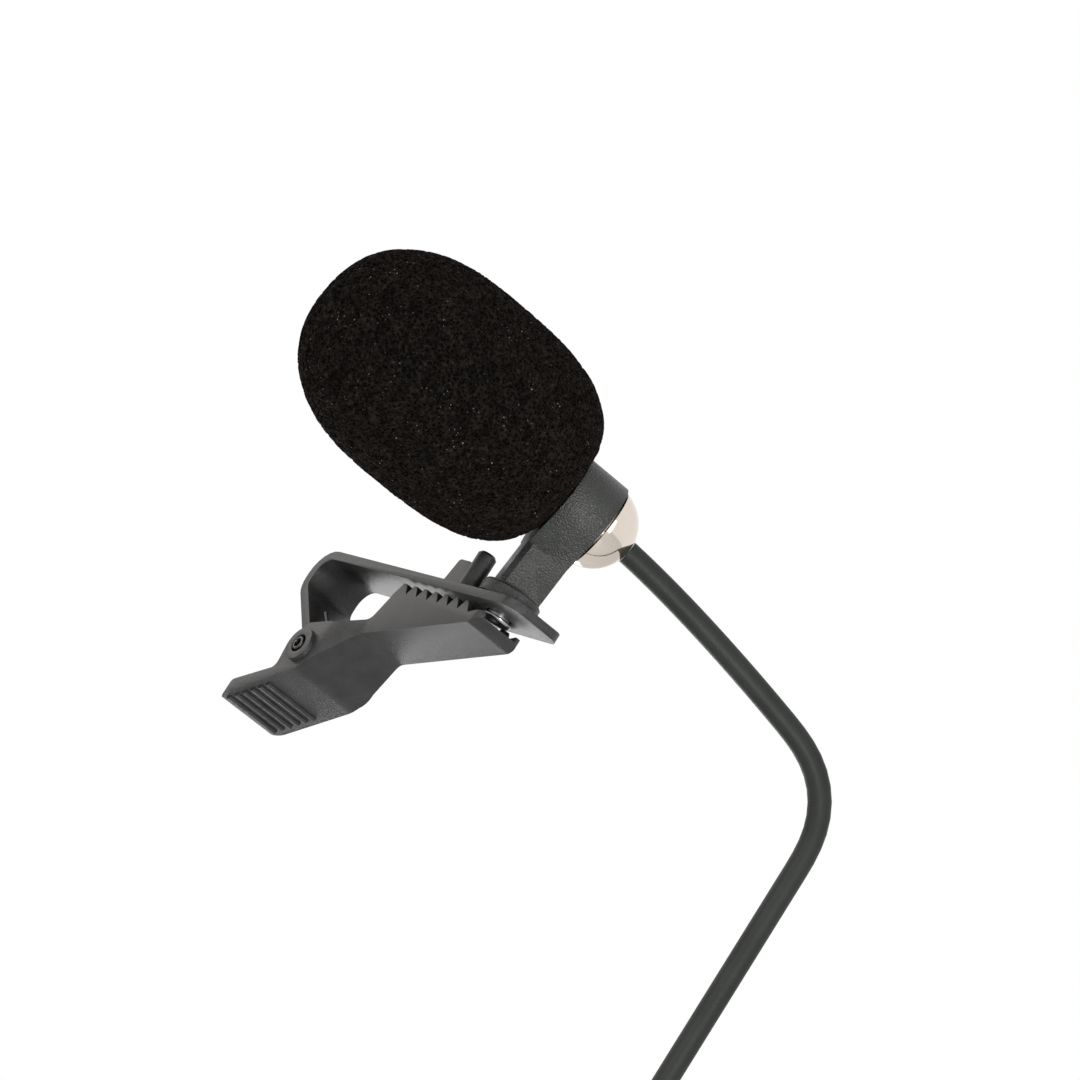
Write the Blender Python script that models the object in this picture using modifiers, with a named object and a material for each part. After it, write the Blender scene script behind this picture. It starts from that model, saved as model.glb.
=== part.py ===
"""Lavalier microphone: a foam-covered capsule in a swivelling ring holder, on a toothed spring clip.

World axes: the origin is the middle of the clip's gripping face, on the underside of the upper lever's plate.
+X runs along the plate to the mouth of the clip, +Z is square to the plate and is the swivel axis of the
holder, and +Y runs across the clip, to the side where the cable leaves. The microphone hangs on what the clip
grips, so its cable falls along -Z and its spare length lies coiled on the surface below.
"""

import math

import bmesh
import bpy
from mathutils import Matrix, Vector

MM = 0.001

# Clearances between neighbouring pieces
SEAT = 0.3 * MM  # pieces that rest on each other
FINE_SEAT = 0.12 * MM  # the small turned pieces of the capsule and the plug
RUNNING = 0.3 * MM  # pieces that move past each other

# Clip, measured from the pivot pin
GRIP_REACH = 15.3 * MM  # pin to the middle of the gripping face, along the plate
THROAT = 10.5 * MM  # pin to the underside of the plate
PLATE_FRONT = 30.3 * MM  # pin to the front edge of the plate
SWIVEL_INSET = 7.3 * MM  # front edge of the plate back to the swivel axis
JAW_INSET = 5.7 * MM  # front edge of the plate back to the front end of the jaw
PLATE_THICK = 1.0 * MM
PLATE_FRONT_WIDTH = 7.7 * MM
PLATE_CORNER = 2.2 * MM
BOW_BACK = 9.3 * MM  # pin to the back of the bow
BOW_THICK = 1.1 * MM
BOW_WIDTH = 6.4 * MM
BOW_TOP_BEND = 3.2 * MM
BOW_LOW_BEND = 2.4 * MM
BOW_DROP = 4.9 * MM  # top of the plate to the bow's lower bend
KNUCKLE_RADIUS = 1.6 * MM
SPRING_BAY = 3.9 * MM  # gap between the two knuckles, which holds the spring

TAB_PLACE = 17.0 * MM  # pin to the middle of the cable tab
TAB_LENGTH = 3.8 * MM
TAB_TOP_LENGTH = 2.3 * MM
TAB_THICK = 0.8 * MM
TAB_HEIGHT = 2.7 * MM
POST_PLACE = 19.1 * MM  # pin to the middle of the cable post
POST_RADIUS = 1.05 * MM
POST_HEIGHT = 4.2 * MM
POST_INSET = 1.1 * MM  # plate edge to the middle of the cable post

JAW_WIDTH = 6.1 * MM
JAW_HEEL = 6.4 * MM  # pin to the rear end of the jaw's flat underside, along the plate
HEEL_HEIGHT = 3.5 * MM  # pin to the same place, square to the plate
JAW_SLOPE = 0.26  # rise of the jaw's underside toward its front
JAW_CHIN = 1.1 * MM  # length of the jaw's bevelled front end
WALL = 0.8 * MM
FLOOR = 0.8 * MM
TOOTH_COUNT = 7
TOOTH_DEPTH = 1.15 * MM
TEETH_START = 8.0 * MM
TEETH_END = 22.4 * MM
TEETH_GAP = 0.4 * MM  # tooth tips to the plate when the clip is shut
THROAT_BACK = 1.3 * MM  # rear tooth back to the foot of the throat
THROAT_LOW = 5.4 * MM  # pin to the foot of the throat, square to the plate
CHEEK_HEIGHT = 2.6 * MM  # pin to the top of the lower lever's walls at the pin
CHEEK_LENGTH = 3.0 * MM  # pin to the place where the walls begin to climb
LEVER_WIDTH = 8.7 * MM
PAD_REACH = 9.9 * MM  # pin to the end of the thumb pad
PAD_DROP = 7.9 * MM
PAD_THICK = 1.5 * MM
PAD_CORNER = 1.9 * MM
RIB_COUNT = 6
RIB_PITCH = 1.22 * MM
RIB_RADIUS = 0.32 * MM
RIB_LENGTH = 7.0 * MM

PIN_RADIUS = 0.75 * MM
PIN_LENGTH = 10.2 * MM
BOSS_RADIUS = 1.9 * MM
BOSS_HEIGHT = 0.55 * MM

SPRING_WIRE = 0.5 * MM
SPRING_PITCH = 0.95 * MM
SPRING_TURN_POINTS = 10
SPRING_WHOLE_TURNS = 3

# Holder, on the swivel axis
SWIVEL_TURN = math.radians(20)  # how far the microphone is turned from the width of the clip
LEAN = math.radians(5)  # the neck leans this far from the swivel axis, so that the nose is raised
FOOT_RADIUS = 3.3 * MM
FOOT_THICK = 1.5 * MM
NECK_THICK = 3.6 * MM
NECK_CHAMFER = 0.55 * MM
RING_HEIGHT = 12.6 * MM  # top of the plate to the middle of the ring
RING_WALL = 0.6 * MM
RING_LENGTH = 4.9 * MM
NECK_TOP = 6.0 * MM  # middle of the ring down to the crease where the neck begins
GUSSET_REACH = 1.1 * MM
GUSSET_HEIGHT = 4.0 * MM
GUSSET_WIDTH = 1.6 * MM
RIVET_RADIUS = 1.25 * MM
RIVET_BORE = 0.65 * MM
RIVET_HEAD_RADIUS = 1.75 * MM
RIVET_HEAD_THICK = 0.45 * MM

# Microphone, along its own axis: +Z is the nose, 0 is the middle of the ring
BARREL_RADIUS = 4.0 * MM
BARREL_WALL = 0.4 * MM
BARREL_NOSE = 14.0 * MM
GRILLE_THICK = 0.5 * MM
GRILLE_LIP = 1.2 * MM
GRILLE_HOLE_RADIUS = 0.42 * MM
GRILLE_HOLES = 6
SCREEN_THICK = 0.35 * MM
CAPSULE_RADIUS = 3.0 * MM
CAPSULE_LENGTH = 2.7 * MM
CAPSULE_WALL = 0.3 * MM
CAPSULE_PORT = 1.0 * MM
DIAPHRAGM_THICK = 0.25 * MM
BACK_PLATE_THICK = 0.35 * MM
BOARD_THICK = 0.4 * MM
DOME_RADIUS = 4.6 * MM
DOME_REACH = 6.6 * MM  # middle of the ring to the tip of the dome
DOME_WALL = 0.7 * MM
DOME_SPIGOT = 2.2 * MM
FERRULE_LENGTH = 2.4 * MM
FERRULE_WALL = 0.35 * MM
WIRE_RADIUS = 0.25 * MM

# Foam windscreen
FOAM_RADIUS = 11.45 * MM
FOAM_LENGTH = 31.4 * MM
FOAM_NOSE = 14.5 * MM  # tip to the widest place
FOAM_NOSE_POWER = 2.3
FOAM_REAR_POWER = 3.1
FOAM_MOUTH_RADIUS = 5.6 * MM  # radius of the flat rear face
FOAM_RISE = 0.8 * MM  # the foam sits this far above the barrel's axis
FOAM_RINGS = 9  # rings in each half of the foam

# Cable and plug
CABLE_RADIUS = 1.25 * MM
CABLE_STEP = 5.0 * MM
CABLE_SAG = math.radians(14)  # how far the cable's free end has sagged before its bend
SAG_LENGTH = 25.0 * MM  # free cable from the jacket's start to its bend
BEND_LENGTH = 17.5 * MM
ENTRY_BEND = 26.0 * MM  # length of the bend where the hanging cable turns level above the coil
ENTRY_TURN = math.radians(170)  # way the cable runs over the coil, measured from the microphone's cable end
SURFACE_DROP = 130.0 * MM  # middle of the ring down to the surface where the spare cable lies
COIL_RADIUS = 13.75 * MM  # middle of the turns: 11 cable diameters across
COIL_PITCH = 2.95 * MM
COIL_LAYERS = 4
COIL_TURNS = 3  # turns in each layer
COIL_TURN_POINTS = 24
TIE_THICK = 0.5 * MM
TIE_WIDTH = 4.0 * MM
BOOT_LENGTH = 9.0 * MM
BOOT_RADIUS = 2.6 * MM
SHELL_LENGTH = 15.0 * MM
SHELL_RADIUS = 3.9 * MM
PLUG_RADIUS = 1.75 * MM
PLUG_CORE_RADIUS = 0.4 * MM
SLEEVE_LENGTH = 6.0 * MM
BAND_LENGTH = 0.7 * MM
RING_CONTACT_LENGTH = 1.9 * MM
TIP_LENGTH = 4.2 * MM
TAIL_LENGTH = 16.0 * MM

# Facets
ARC_STEP = math.radians(15)
ROUND_STEPS = 32
RING_STEPS = 48
SMALL_STEPS = 20

# Places that follow from the sizes above
PIN = Vector((-GRIP_REACH, 0, -THROAT))
JAW_REACH = PLATE_FRONT - JAW_INSET
SWIVEL_X = PLATE_FRONT - SWIVEL_INSET - GRIP_REACH
UP = Vector((0, 0, 1))
ACROSS = Vector((math.cos(SWIVEL_TURN), -math.sin(SWIVEL_TURN), 0))
AWAY = Vector((math.sin(SWIVEL_TURN), math.cos(SWIVEL_TURN), 0))  # level way that the cable leaves
NOSE = UP * math.sin(LEAN) - AWAY * math.cos(LEAN)
NECK_UP = UP * math.cos(LEAN) + AWAY * math.sin(LEAN)
FOOT = Vector((SWIVEL_X, 0, PLATE_THICK))
NECK_LENGTH = RING_HEIGHT / math.cos(LEAN)  # along the leaning neck, from the plate to the middle of the ring
RING_CENTRE = FOOT + NECK_UP * NECK_LENGTH
RING_BORE = BARREL_RADIUS + SEAT
RING_RADIUS = RING_BORE + RING_WALL
SURFACE = RING_CENTRE.z - SURFACE_DROP
WIDE = 40 * MM  # longer than any piece that a cutter goes through


# ---------------------------------------------------------------- tools

def clear_scene():
    for obj in list(bpy.data.objects):
        bpy.data.objects.remove(obj, do_unlink=True)


def new_collection(name, hidden=False):
    collection = bpy.data.collections.new(name)
    bpy.context.scene.collection.children.link(collection)
    collection.hide_render = hidden
    return collection


def finish(name, colour, roughness, metallic=0.0):
    """A Principled material of one colour."""
    material = bpy.data.materials.new(name)
    material.use_nodes = True
    shader = material.node_tree.nodes["Principled BSDF"]
    shader.inputs["Base Color"].default_value = (*colour, 1)
    shader.inputs["Roughness"].default_value = roughness
    shader.inputs["Metallic"].default_value = metallic
    material.diffuse_color = (*colour, 1)
    return material


def rounded(corners, step=ARC_STEP):
    """Closed outline through (x, y, radius) corners, where each radius becomes an arc."""
    points = []
    for i, (x, y, radius) in enumerate(corners):
        here = Vector((x, y))
        if radius <= 0:
            points.append(here)
            continue
        back = (Vector(corners[i - 1][:2]) - here).normalized()
        ahead = (Vector(corners[(i + 1) % len(corners)][:2]) - here).normalized()
        half = back.angle(ahead) / 2
        centre = here + (back + ahead).normalized() * (radius / math.sin(half))
        spoke = here + back * (radius / math.tan(half)) - centre
        turn = math.copysign(math.pi - 2 * half, back.x * ahead.y - back.y * ahead.x) * -1
        count = max(1, math.ceil(abs(turn) / step))
        for k in range(count + 1):
            points.append(centre + Matrix.Rotation(turn * k / count, 2) @ spoke)
    return points


def offset_line(points, distance):
    """The open line moved sideways to its left by a distance."""
    moved = []
    for i, point in enumerate(points):
        before = (point - points[i - 1]).normalized() if i else None
        after = (points[i + 1] - point).normalized() if i + 1 < len(points) else before
        before = before or after
        normal = Vector((-(before.y + after.y), before.x + after.x)).normalized()
        across = Vector((-after.y, after.x))
        moved.append(point + normal * (distance / normal.dot(across)))
    return moved


def mesh_object(name, mesh, collection, place=None):
    obj = bpy.data.objects.new(name, mesh)
    collection.objects.link(obj)
    if place is not None:
        obj.matrix_world = place
    return obj


def as_mesh(curve, collection):
    """Turns a curve object into a closed mesh object at the same place."""
    bpy.context.view_layer.update()
    graph = bpy.context.evaluated_depsgraph_get()
    mesh = bpy.data.meshes.new_from_object(curve.evaluated_get(graph))
    welded = bmesh.new()
    welded.from_mesh(mesh)
    bmesh.ops.remove_doubles(welded, verts=welded.verts, dist=MM / 1000)
    bmesh.ops.recalc_face_normals(welded, faces=welded.faces)
    welded.to_mesh(mesh)
    welded.free()
    name = curve.name
    place = curve.matrix_world.copy()
    bpy.data.objects.remove(curve, do_unlink=True)
    mesh.name = name
    return mesh_object(name, mesh, collection, place)


def slab(name, outline, thickness, place, collection):
    """A flat outline in the place's own XY plane, with half its thickness on each side of it."""
    curve = bpy.data.curves.new(name, "CURVE")
    curve.dimensions = "2D"
    curve.fill_mode = "BOTH"
    curve.extrude = thickness / 2
    spline = curve.splines.new("POLY")
    spline.points.add(len(outline) - 1)
    for point, (x, y) in zip(spline.points, outline):
        point.co = (x, y, 0, 1)
    spline.use_cyclic_u = True
    obj = bpy.data.objects.new(name, curve)
    collection.objects.link(obj)
    obj.matrix_world = place
    return as_mesh(obj, collection)


def side_view(origin):
    """Place whose X and Y are the world's X and Z, for outlines seen from the side of the clip."""
    return Matrix.Translation(origin) @ Matrix.Rotation(math.pi / 2, 4, "X")


def turned(name, profile, collection, place=None, steps=ROUND_STEPS, ring=False):
    """Turns (radius, height) points about Z. They run down the outer side; a ring's outline is closed."""
    mesh = bpy.data.meshes.new(name)
    edges = [(i, i + 1) for i in range(len(profile) - 1)]
    if ring:
        edges.append((len(profile) - 1, 0))
    mesh.from_pydata([(r, 0, z) for r, z in profile], edges, [])
    obj = mesh_object(name, mesh, collection, place)
    screw = obj.modifiers.new("Turn", "SCREW")
    screw.steps = steps
    screw.render_steps = steps
    screw.use_merge_vertices = True
    screw.merge_threshold = MM / 1000
    return obj


def rod(name, radius, low, high, collection, place=None, steps=ROUND_STEPS):
    return turned(name, [(0, high), (radius, high), (radius, low), (0, low)], collection, place, steps)


def washer(name, outer, inner, low, high, collection, place=None, steps=ROUND_STEPS):
    profile = [(outer, high), (outer, low), (inner, low), (inner, high)]
    return turned(name, profile, collection, place, steps, ring=True)


def box(name, low, high, collection, place=None):
    bpy.ops.mesh.primitive_cube_add(size=1)
    obj = bpy.context.object
    obj.name = name
    for owner in list(obj.users_collection):
        owner.objects.unlink(obj)
    collection.objects.link(obj)
    size = Vector(high) - Vector(low)
    middle = (Vector(high) + Vector(low)) / 2
    obj.data.transform(Matrix.Translation(middle) @ Matrix.Diagonal((*size, 1)))
    obj.matrix_world = place or Matrix()
    return obj


def tube(name, points, radius, collection, resolution=2):
    curve = bpy.data.curves.new(name, "CURVE")
    curve.dimensions = "3D"
    curve.bevel_depth = radius
    curve.bevel_resolution = resolution
    curve.use_fill_caps = True
    spline = curve.splines.new("POLY")
    spline.points.add(len(points) - 1)
    for spot, point in zip(spline.points, points):
        spot.co = (*point, 1)
    obj = bpy.data.objects.new(name, curve)
    collection.objects.link(obj)
    return obj


def combine(obj, tool, operation):
    step = obj.modifiers.new(tool.name, "BOOLEAN")
    step.operation = operation
    step.solver = "EXACT"
    step.object = tool


def cut(obj, *tools):
    for tool in tools:
        combine(obj, tool, "DIFFERENCE")


def add(obj, *tools):
    for tool in tools:
        combine(obj, tool, "UNION")


def paint(obj, material, smooth=True):
    obj.data.materials.clear()
    obj.data.materials.append(material)
    if smooth and obj.type == "MESH":
        obj.data.shade_smooth()
        obj.data.set_sharp_from_angle(angle=math.radians(35))
    return obj


def hide_cutters(cutters):
    for obj in cutters.objects:
        obj.hide_render = True
        obj.display_type = "WIRE"


def frame_of(x_axis, y_axis, z_axis, origin):
    turn = Matrix((x_axis, y_axis, z_axis)).transposed().to_4x4()
    return Matrix.Translation(origin) @ turn


def resampled(points, step):
    """The route through the points, read again at even distances near a step."""
    lengths = [0.0]
    for a, b in zip(points, points[1:]):
        lengths.append(lengths[-1] + (b - a).length)
    count = max(2, round(lengths[-1] / step))
    route = []
    i = 1
    for k in range(count + 1):
        want = lengths[-1] * k / count
        while i < len(points) - 1 and lengths[i] < want:
            i += 1
        share = (want - lengths[i - 1]) / (lengths[i] - lengths[i - 1])
        route.append(points[i - 1].lerp(points[i], share))
    return route


# ---------------------------------------------------------------- clip

def bow_line():
    """Corners of the upper lever's outer side, from the knuckle round the bow to the plate."""
    top = THROAT + PLATE_THICK
    return [
        (-KNUCKLE_RADIUS * 0.9, KNUCKLE_RADIUS * 0.1, 0),
        (-BOW_BACK, top - BOW_DROP, BOW_LOW_BEND),
        (-BOW_BACK, top, BOW_TOP_BEND),
        (PLATE_FRONT, top, PLATE_THICK / 3),
    ]


def upper_lever(parts, cutters, material):
    """Plate, bow and knuckles bent from one strip, with the cable tab and post on the plate."""
    outer = bow_line()
    low = Vector(outer[0][:2])
    bend = Vector(outer[1][:2])
    slope = (low - bend).normalized()
    inward = Vector((-slope.y, slope.x))
    start = bend + inward * BOW_THICK
    inner_x = -BOW_BACK + BOW_THICK
    inner_z = start.y + slope.y / slope.x * (inner_x - start.x)
    inner_low = low + inward * BOW_THICK
    corners = outer + [
        (PLATE_FRONT, THROAT, PLATE_THICK / 3),
        (inner_x, THROAT, BOW_TOP_BEND - BOW_THICK),
        (inner_x, inner_z, BOW_LOW_BEND - BOW_THICK),
        (inner_low.x, inner_low.y, 0),
    ]
    lever = slab("upper_lever", rounded(corners), LEVER_WIDTH * 2, side_view(PIN), parts)

    plan = slab("upper_plan", rounded(plate_plan()), WIDE * 2, Matrix.Translation(PIN), cutters)
    combine(lever, plan, "INTERSECT")
    along_y = side_view(PIN)
    knuckles = rod("knuckle_rod", KNUCKLE_RADIUS, -BOW_WIDTH / 2, BOW_WIDTH / 2, cutters, along_y, 24)
    add(lever, knuckles)
    bore = rod("knuckle_bore", PIN_RADIUS + RUNNING, -WIDE, WIDE, cutters, along_y, 20)
    reach = KNUCKLE_RADIUS + RUNNING * 2
    bay = box("spring_bay", (-reach, -SPRING_BAY / 2, -reach), (reach, SPRING_BAY / 2, reach), cutters,
              Matrix.Translation(PIN))
    hole = rod("rivet_hole", RIVET_RADIUS + RUNNING, -WIDE, WIDE, cutters,
               Matrix.Translation((SWIVEL_X, 0, 0)), 24)
    cut(lever, bore, bay, hole)
    add(lever, cable_tab(cutters), cable_post(cutters))
    return paint(lever, material)


def plate_half_width(x):
    """Half the plate's width at a distance from the pin: it tapers from its front edge to the bow."""
    share = (x + BOW_BACK) / (PLATE_FRONT + BOW_BACK)
    return (BOW_WIDTH + (PLATE_FRONT_WIDTH - BOW_WIDTH) * share) / 2


def plate_plan():
    front = PLATE_FRONT_WIDTH / 2
    back = BOW_WIDTH / 2
    tail = -BOW_BACK - MM
    return [
        (tail, -back, 0),
        (PLATE_FRONT, -front, PLATE_CORNER),
        (PLATE_FRONT, front, PLATE_CORNER),
        (tail, back, 0),
    ]


def cable_tab(cutters):
    """Upright tab at the plate's edge, on the side away from the cable."""
    base = -PLATE_THICK / 2
    corners = [
        (-TAB_LENGTH / 2, base, 0),
        (TAB_LENGTH / 2, base, 0),
        (TAB_TOP_LENGTH / 2, TAB_HEIGHT, TAB_TOP_LENGTH / 5),
        (-TAB_TOP_LENGTH / 2, TAB_HEIGHT, TAB_TOP_LENGTH / 5),
    ]
    edge = plate_half_width(TAB_PLACE) - TAB_THICK
    origin = Vector((TAB_PLACE - GRIP_REACH, -edge, PLATE_THICK))
    return slab("tab_form", rounded(corners), TAB_THICK, side_view(origin), cutters)


def cable_post(cutters):
    """Round post that stands against the tab. A thin cable is pressed into the notch above their joint."""
    side = plate_half_width(POST_PLACE) - POST_INSET
    profile = [
        (0, POST_HEIGHT),
        (POST_RADIUS * 0.7, POST_HEIGHT),
        (POST_RADIUS, POST_HEIGHT - POST_RADIUS * 0.3),
        (POST_RADIUS, -PLATE_THICK / 2),
        (0, -PLATE_THICK / 2),
    ]
    origin = Matrix.Translation((POST_PLACE - GRIP_REACH, -side, PLATE_THICK))
    return turned("post_form", profile, cutters, origin, 16)


def lever_bottom():
    """The lower lever's outer line from the pad's end to the jaw's front, seen from the side."""
    knee = KNUCKLE_RADIUS + RUNNING + FLOOR
    return [
        Vector((-PAD_REACH, -PAD_DROP)),
        Vector((knee * 0.48, -knee * 0.93)),
        Vector((JAW_HEEL, HEEL_HEIGHT)),
        Vector((JAW_REACH - JAW_CHIN, HEEL_HEIGHT + (JAW_REACH - JAW_CHIN - JAW_HEEL) * JAW_SLOPE)),
    ]


def teeth():
    """Corners of the tooth row, from the front tooth to the rear one."""
    tip = THROAT - TEETH_GAP
    pitch = (TEETH_END - TEETH_START) / TOOTH_COUNT
    corners = []
    for i in range(TOOTH_COUNT):
        front = TEETH_END - i * pitch
        corners.append((front, tip - TOOTH_DEPTH, 0))
        corners.append((front - pitch * 0.42, tip, 0))
        corners.append((front - pitch * 0.68, tip, 0))
    corners.append((TEETH_START, tip - TOOTH_DEPTH, 0))
    return corners


def lower_outline():
    tip = THROAT - TEETH_GAP
    pad_end, knee, heel, chin = lever_bottom()
    pad_up = offset_line([pad_end, knee], PAD_THICK)
    cheek = CHEEK_HEIGHT
    foot_z = pad_up[1].y - (knee.x + cheek * 0.95) * (knee.y - pad_end.y) / (knee.x - pad_end.x)
    return [
        (JAW_REACH, tip - TOOTH_DEPTH / 3, TOOTH_DEPTH * 0.2),
        *teeth(),
        (TEETH_START - THROAT_BACK, THROAT_LOW, cheek * 0.6),
        (CHEEK_LENGTH, cheek * 1.42, cheek),
        (-cheek * 0.6, cheek, cheek * 0.54),
        (-cheek * 1.15, cheek * 0.1, cheek * 0.46),
        (-cheek * 0.95, foot_z, cheek * 0.35),
        (pad_up[0].x, pad_up[0].y, PAD_THICK / 3),
        (pad_end.x, pad_end.y, PAD_THICK / 3),
        (knee.x, knee.y, PAD_THICK * 2),
        (heel.x, heel.y, PAD_THICK * 1.6),
        (chin.x, chin.y, JAW_CHIN * 0.7),
        (JAW_REACH, tip - TOOTH_DEPTH, TOOTH_DEPTH * 0.3),
    ]


def lower_plan(inset):
    """Plan of the lower lever, or of the space between its walls when it is inset by their thickness."""
    wide = LEVER_WIDTH / 2 - inset
    slim = JAW_WIDTH / 2 - inset
    front = JAW_REACH + (WIDE if inset else 0)
    rear = -WIDE if inset else -PAD_REACH - PAD_THICK * 0.15
    side = [
        (front, -slim, 0 if inset else WALL),
        (JAW_HEEL, -slim, WALL * 3),
        (BOSS_RADIUS * 1.3, -wide, WALL * 5),
        (rear, -wide, 0 if inset else PAD_CORNER),
    ]
    return [*side[::-1], *[(x, -y, r) for x, y, r in side]]


def lower_lever(parts, cutters, material):
    """Channel-shaped jaw with two tooth rows, pivot lugs and the ribbed thumb pad, in one piece."""
    lever = slab("lower_lever", rounded(lower_outline()), WIDE, side_view(PIN), parts)
    plan = slab("lower_plan", rounded(lower_plan(0)), WIDE * 2, Matrix.Translation(PIN), cutters)
    combine(lever, plan, "INTERSECT")
    bosses = rod("pivot_bosses", BOSS_RADIUS, -LEVER_WIDTH / 2 - BOSS_HEIGHT, LEVER_WIDTH / 2 + BOSS_HEIGHT,
                 cutters, side_view(PIN), 24)
    add(lever, bosses)

    inner = offset_line(lever_bottom()[1:], FLOOR)
    ahead = (inner[-1] - inner[-2]).normalized()
    inner.append(inner[-1] + ahead * (JAW_REACH / 2))
    back = lever_bottom()
    pad_slope = (back[1] - back[0]).normalized()
    behind = inner[0] - pad_slope * (inner[0].x + CHEEK_HEIGHT * 0.8) / pad_slope.x
    space = [*[(p.x, p.y, 0) for p in inner], (inner[-1].x, WIDE, 0), (-WIDE / 2, WIDE, 0),
             (-WIDE / 2, -KNUCKLE_RADIUS, 0), (behind.x - FLOOR, -KNUCKLE_RADIUS, 0), (behind.x, behind.y, 0)]
    channel = slab("channel_side", rounded(space), WIDE * 2, side_view(PIN), cutters)
    channel_plan = slab("channel_plan", rounded(lower_plan(WALL)), WIDE * 3, Matrix.Translation(PIN), cutters)
    combine(channel, channel_plan, "INTERSECT")
    bore = rod("lug_bore", PIN_RADIUS + RUNNING, -WIDE, WIDE, cutters, side_view(PIN), 20)
    cut(lever, channel, bore)
    add(lever, *grip_ribs(cutters))
    return paint(lever, material)


def grip_ribs(cutters):
    """Ribs across the outer face of the thumb pad, evenly spaced from its end."""
    end, knee = lever_bottom()[:2]
    slope = (knee - end).normalized()
    ribs = []
    for i in range(RIB_COUNT):
        spot = end + slope * (RIB_PITCH * (i + 1))
        origin = PIN + Vector((spot.x, 0, spot.y))
        half = RIB_LENGTH / 2
        ribs.append(rod(f"rib_{i + 1}", RIB_RADIUS, -half, half, cutters, side_view(origin), 8))
    return ribs


def pivot_pin(parts, material):
    half = PIN_LENGTH / 2
    chamfer = PIN_RADIUS / 4
    profile = [
        (0, half),
        (PIN_RADIUS - chamfer, half),
        (PIN_RADIUS, half - chamfer),
        (PIN_RADIUS, -half + chamfer),
        (PIN_RADIUS - chamfer, -half),
        (0, -half),
    ]
    return paint(turned("pivot_pin", profile, parts, side_view(PIN), SMALL_STEPS), material)


def spring_points():
    """Leg along the bow, turns round the pin, and leg along the jaw's floor."""
    radius = PIN_RADIUS + RUNNING + SPRING_WIRE / 2
    gap = SPRING_WIRE / 2 + RUNNING
    outer = bow_line()
    low, bend = Vector(outer[0][:2]), Vector(outer[1][:2])
    slope = (low - bend).normalized()
    inward = Vector((-slope.y, slope.x))
    upper_end = bend.lerp(low, 0.42) + inward * (BOW_THICK + gap)
    floor = offset_line(lever_bottom()[1:], FLOOR)
    jaw_slope = (floor[2] - floor[1]).normalized()
    lower_end = floor[1] + Vector((-jaw_slope.y, jaw_slope.x)) * (gap + RUNNING) + jaw_slope * SPRING_WIRE

    first = math.atan2(upper_end.y, upper_end.x) - math.acos(radius / upper_end.length)
    last = math.atan2(lower_end.y, lower_end.x) + math.acos(radius / lower_end.length)
    sweep = first - last + 2 * math.pi * SPRING_WHOLE_TURNS
    turns = sweep / (2 * math.pi)
    half = SPRING_PITCH * turns / 2
    count = round(turns * SPRING_TURN_POINTS)
    points = [Vector((upper_end.x, -half, upper_end.y))]
    for k in range(count + 1):
        angle = first - sweep * k / count
        across = -half + 2 * half * k / count
        points.append(Vector((radius * math.cos(angle), across, radius * math.sin(angle))))
    points.append(Vector((lower_end.x, half, lower_end.y)))
    return [PIN + p for p in points]


def torsion_spring(parts, material):
    return paint(tube("torsion_spring", spring_points(), SPRING_WIRE / 2, parts, 1), material)


# ---------------------------------------------------------------- holder

def holder_outline():
    """Cross-section of the ring and neck, seen along the microphone: the ring runs into the neck at a crease."""
    half = NECK_THICK / 2
    crease = math.hypot(half, NECK_TOP)
    down = math.atan2(-NECK_TOP, half)
    touch = down + math.acos(RING_RADIUS / crease)
    sweep = math.pi - 2 * touch
    count = math.ceil(sweep * RING_STEPS / (2 * math.pi))
    arc = [touch + sweep * k / count for k in range(count + 1)]
    foot_top = -NECK_LENGTH + SEAT + FOOT_THICK / 2
    return [
        (half, foot_top),
        (half, -NECK_TOP),
        *[(RING_RADIUS * math.cos(a), RING_RADIUS * math.sin(a)) for a in arc],
        (-half, -NECK_TOP),
        (-half, foot_top),
    ]


def ring_holder(parts, cutters, material, place):
    """Ring, leaning neck, gusset and round level foot, moulded as one piece."""
    holder = slab("ring_holder", holder_outline(), RING_LENGTH, place, parts)
    upright = Matrix.Translation(FOOT)
    top = SEAT + FOOT_THICK
    edge = FOOT_THICK / 6
    foot = turned("foot_form", [
        (0, top),
        (FOOT_RADIUS - edge, top),
        (FOOT_RADIUS, top - edge),
        (FOOT_RADIUS, SEAT),
        (0, SEAT),
    ], cutters, upright)
    back = -NECK_THICK / 2
    base = SEAT + FOOT_THICK / 2 - NECK_LENGTH
    gusset = slab("gusset_form", [
        (back + WALL, base),
        (back + WALL, base + GUSSET_HEIGHT),
        (back - GUSSET_REACH * 0.15, base + GUSSET_HEIGHT),
        (back - GUSSET_REACH, base + GUSSET_HEIGHT * 0.45),
        (back - GUSSET_REACH, base),
    ][::-1], GUSSET_WIDTH, place, cutters)
    add(holder, foot, gusset)
    bore = rod("ring_bore", RING_BORE, -WIDE, WIDE, cutters, place, RING_STEPS)
    seat_top = top + NECK_THICK / 2
    rivet_seat = rod("rivet_seat", RIVET_RADIUS + SEAT, -WIDE, seat_top, cutters, upright, 24)
    cut(holder, bore, rivet_seat, *neck_chamfers(cutters, place))
    return paint(holder, material)


def neck_chamfers(cutters, place):
    """Square bars, turned on edge, that take off the neck's two corners on the side of the nose."""
    half = NECK_CHAMFER / math.sqrt(2)
    low = SEAT + FOOT_THICK - NECK_LENGTH
    bars = []
    for side, name in ((-1, "near"), (1, "far")):
        corner = place @ Matrix.Translation((side * NECK_THICK / 2, 0, RING_LENGTH / 2))
        turned_corner = corner @ Matrix.Rotation(math.pi / 4, 4, "Y")
        bars.append(box(f"neck_chamfer_{name}", (-half, low, -half), (half, -NECK_TOP, half), cutters, turned_corner))
    return bars


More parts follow.
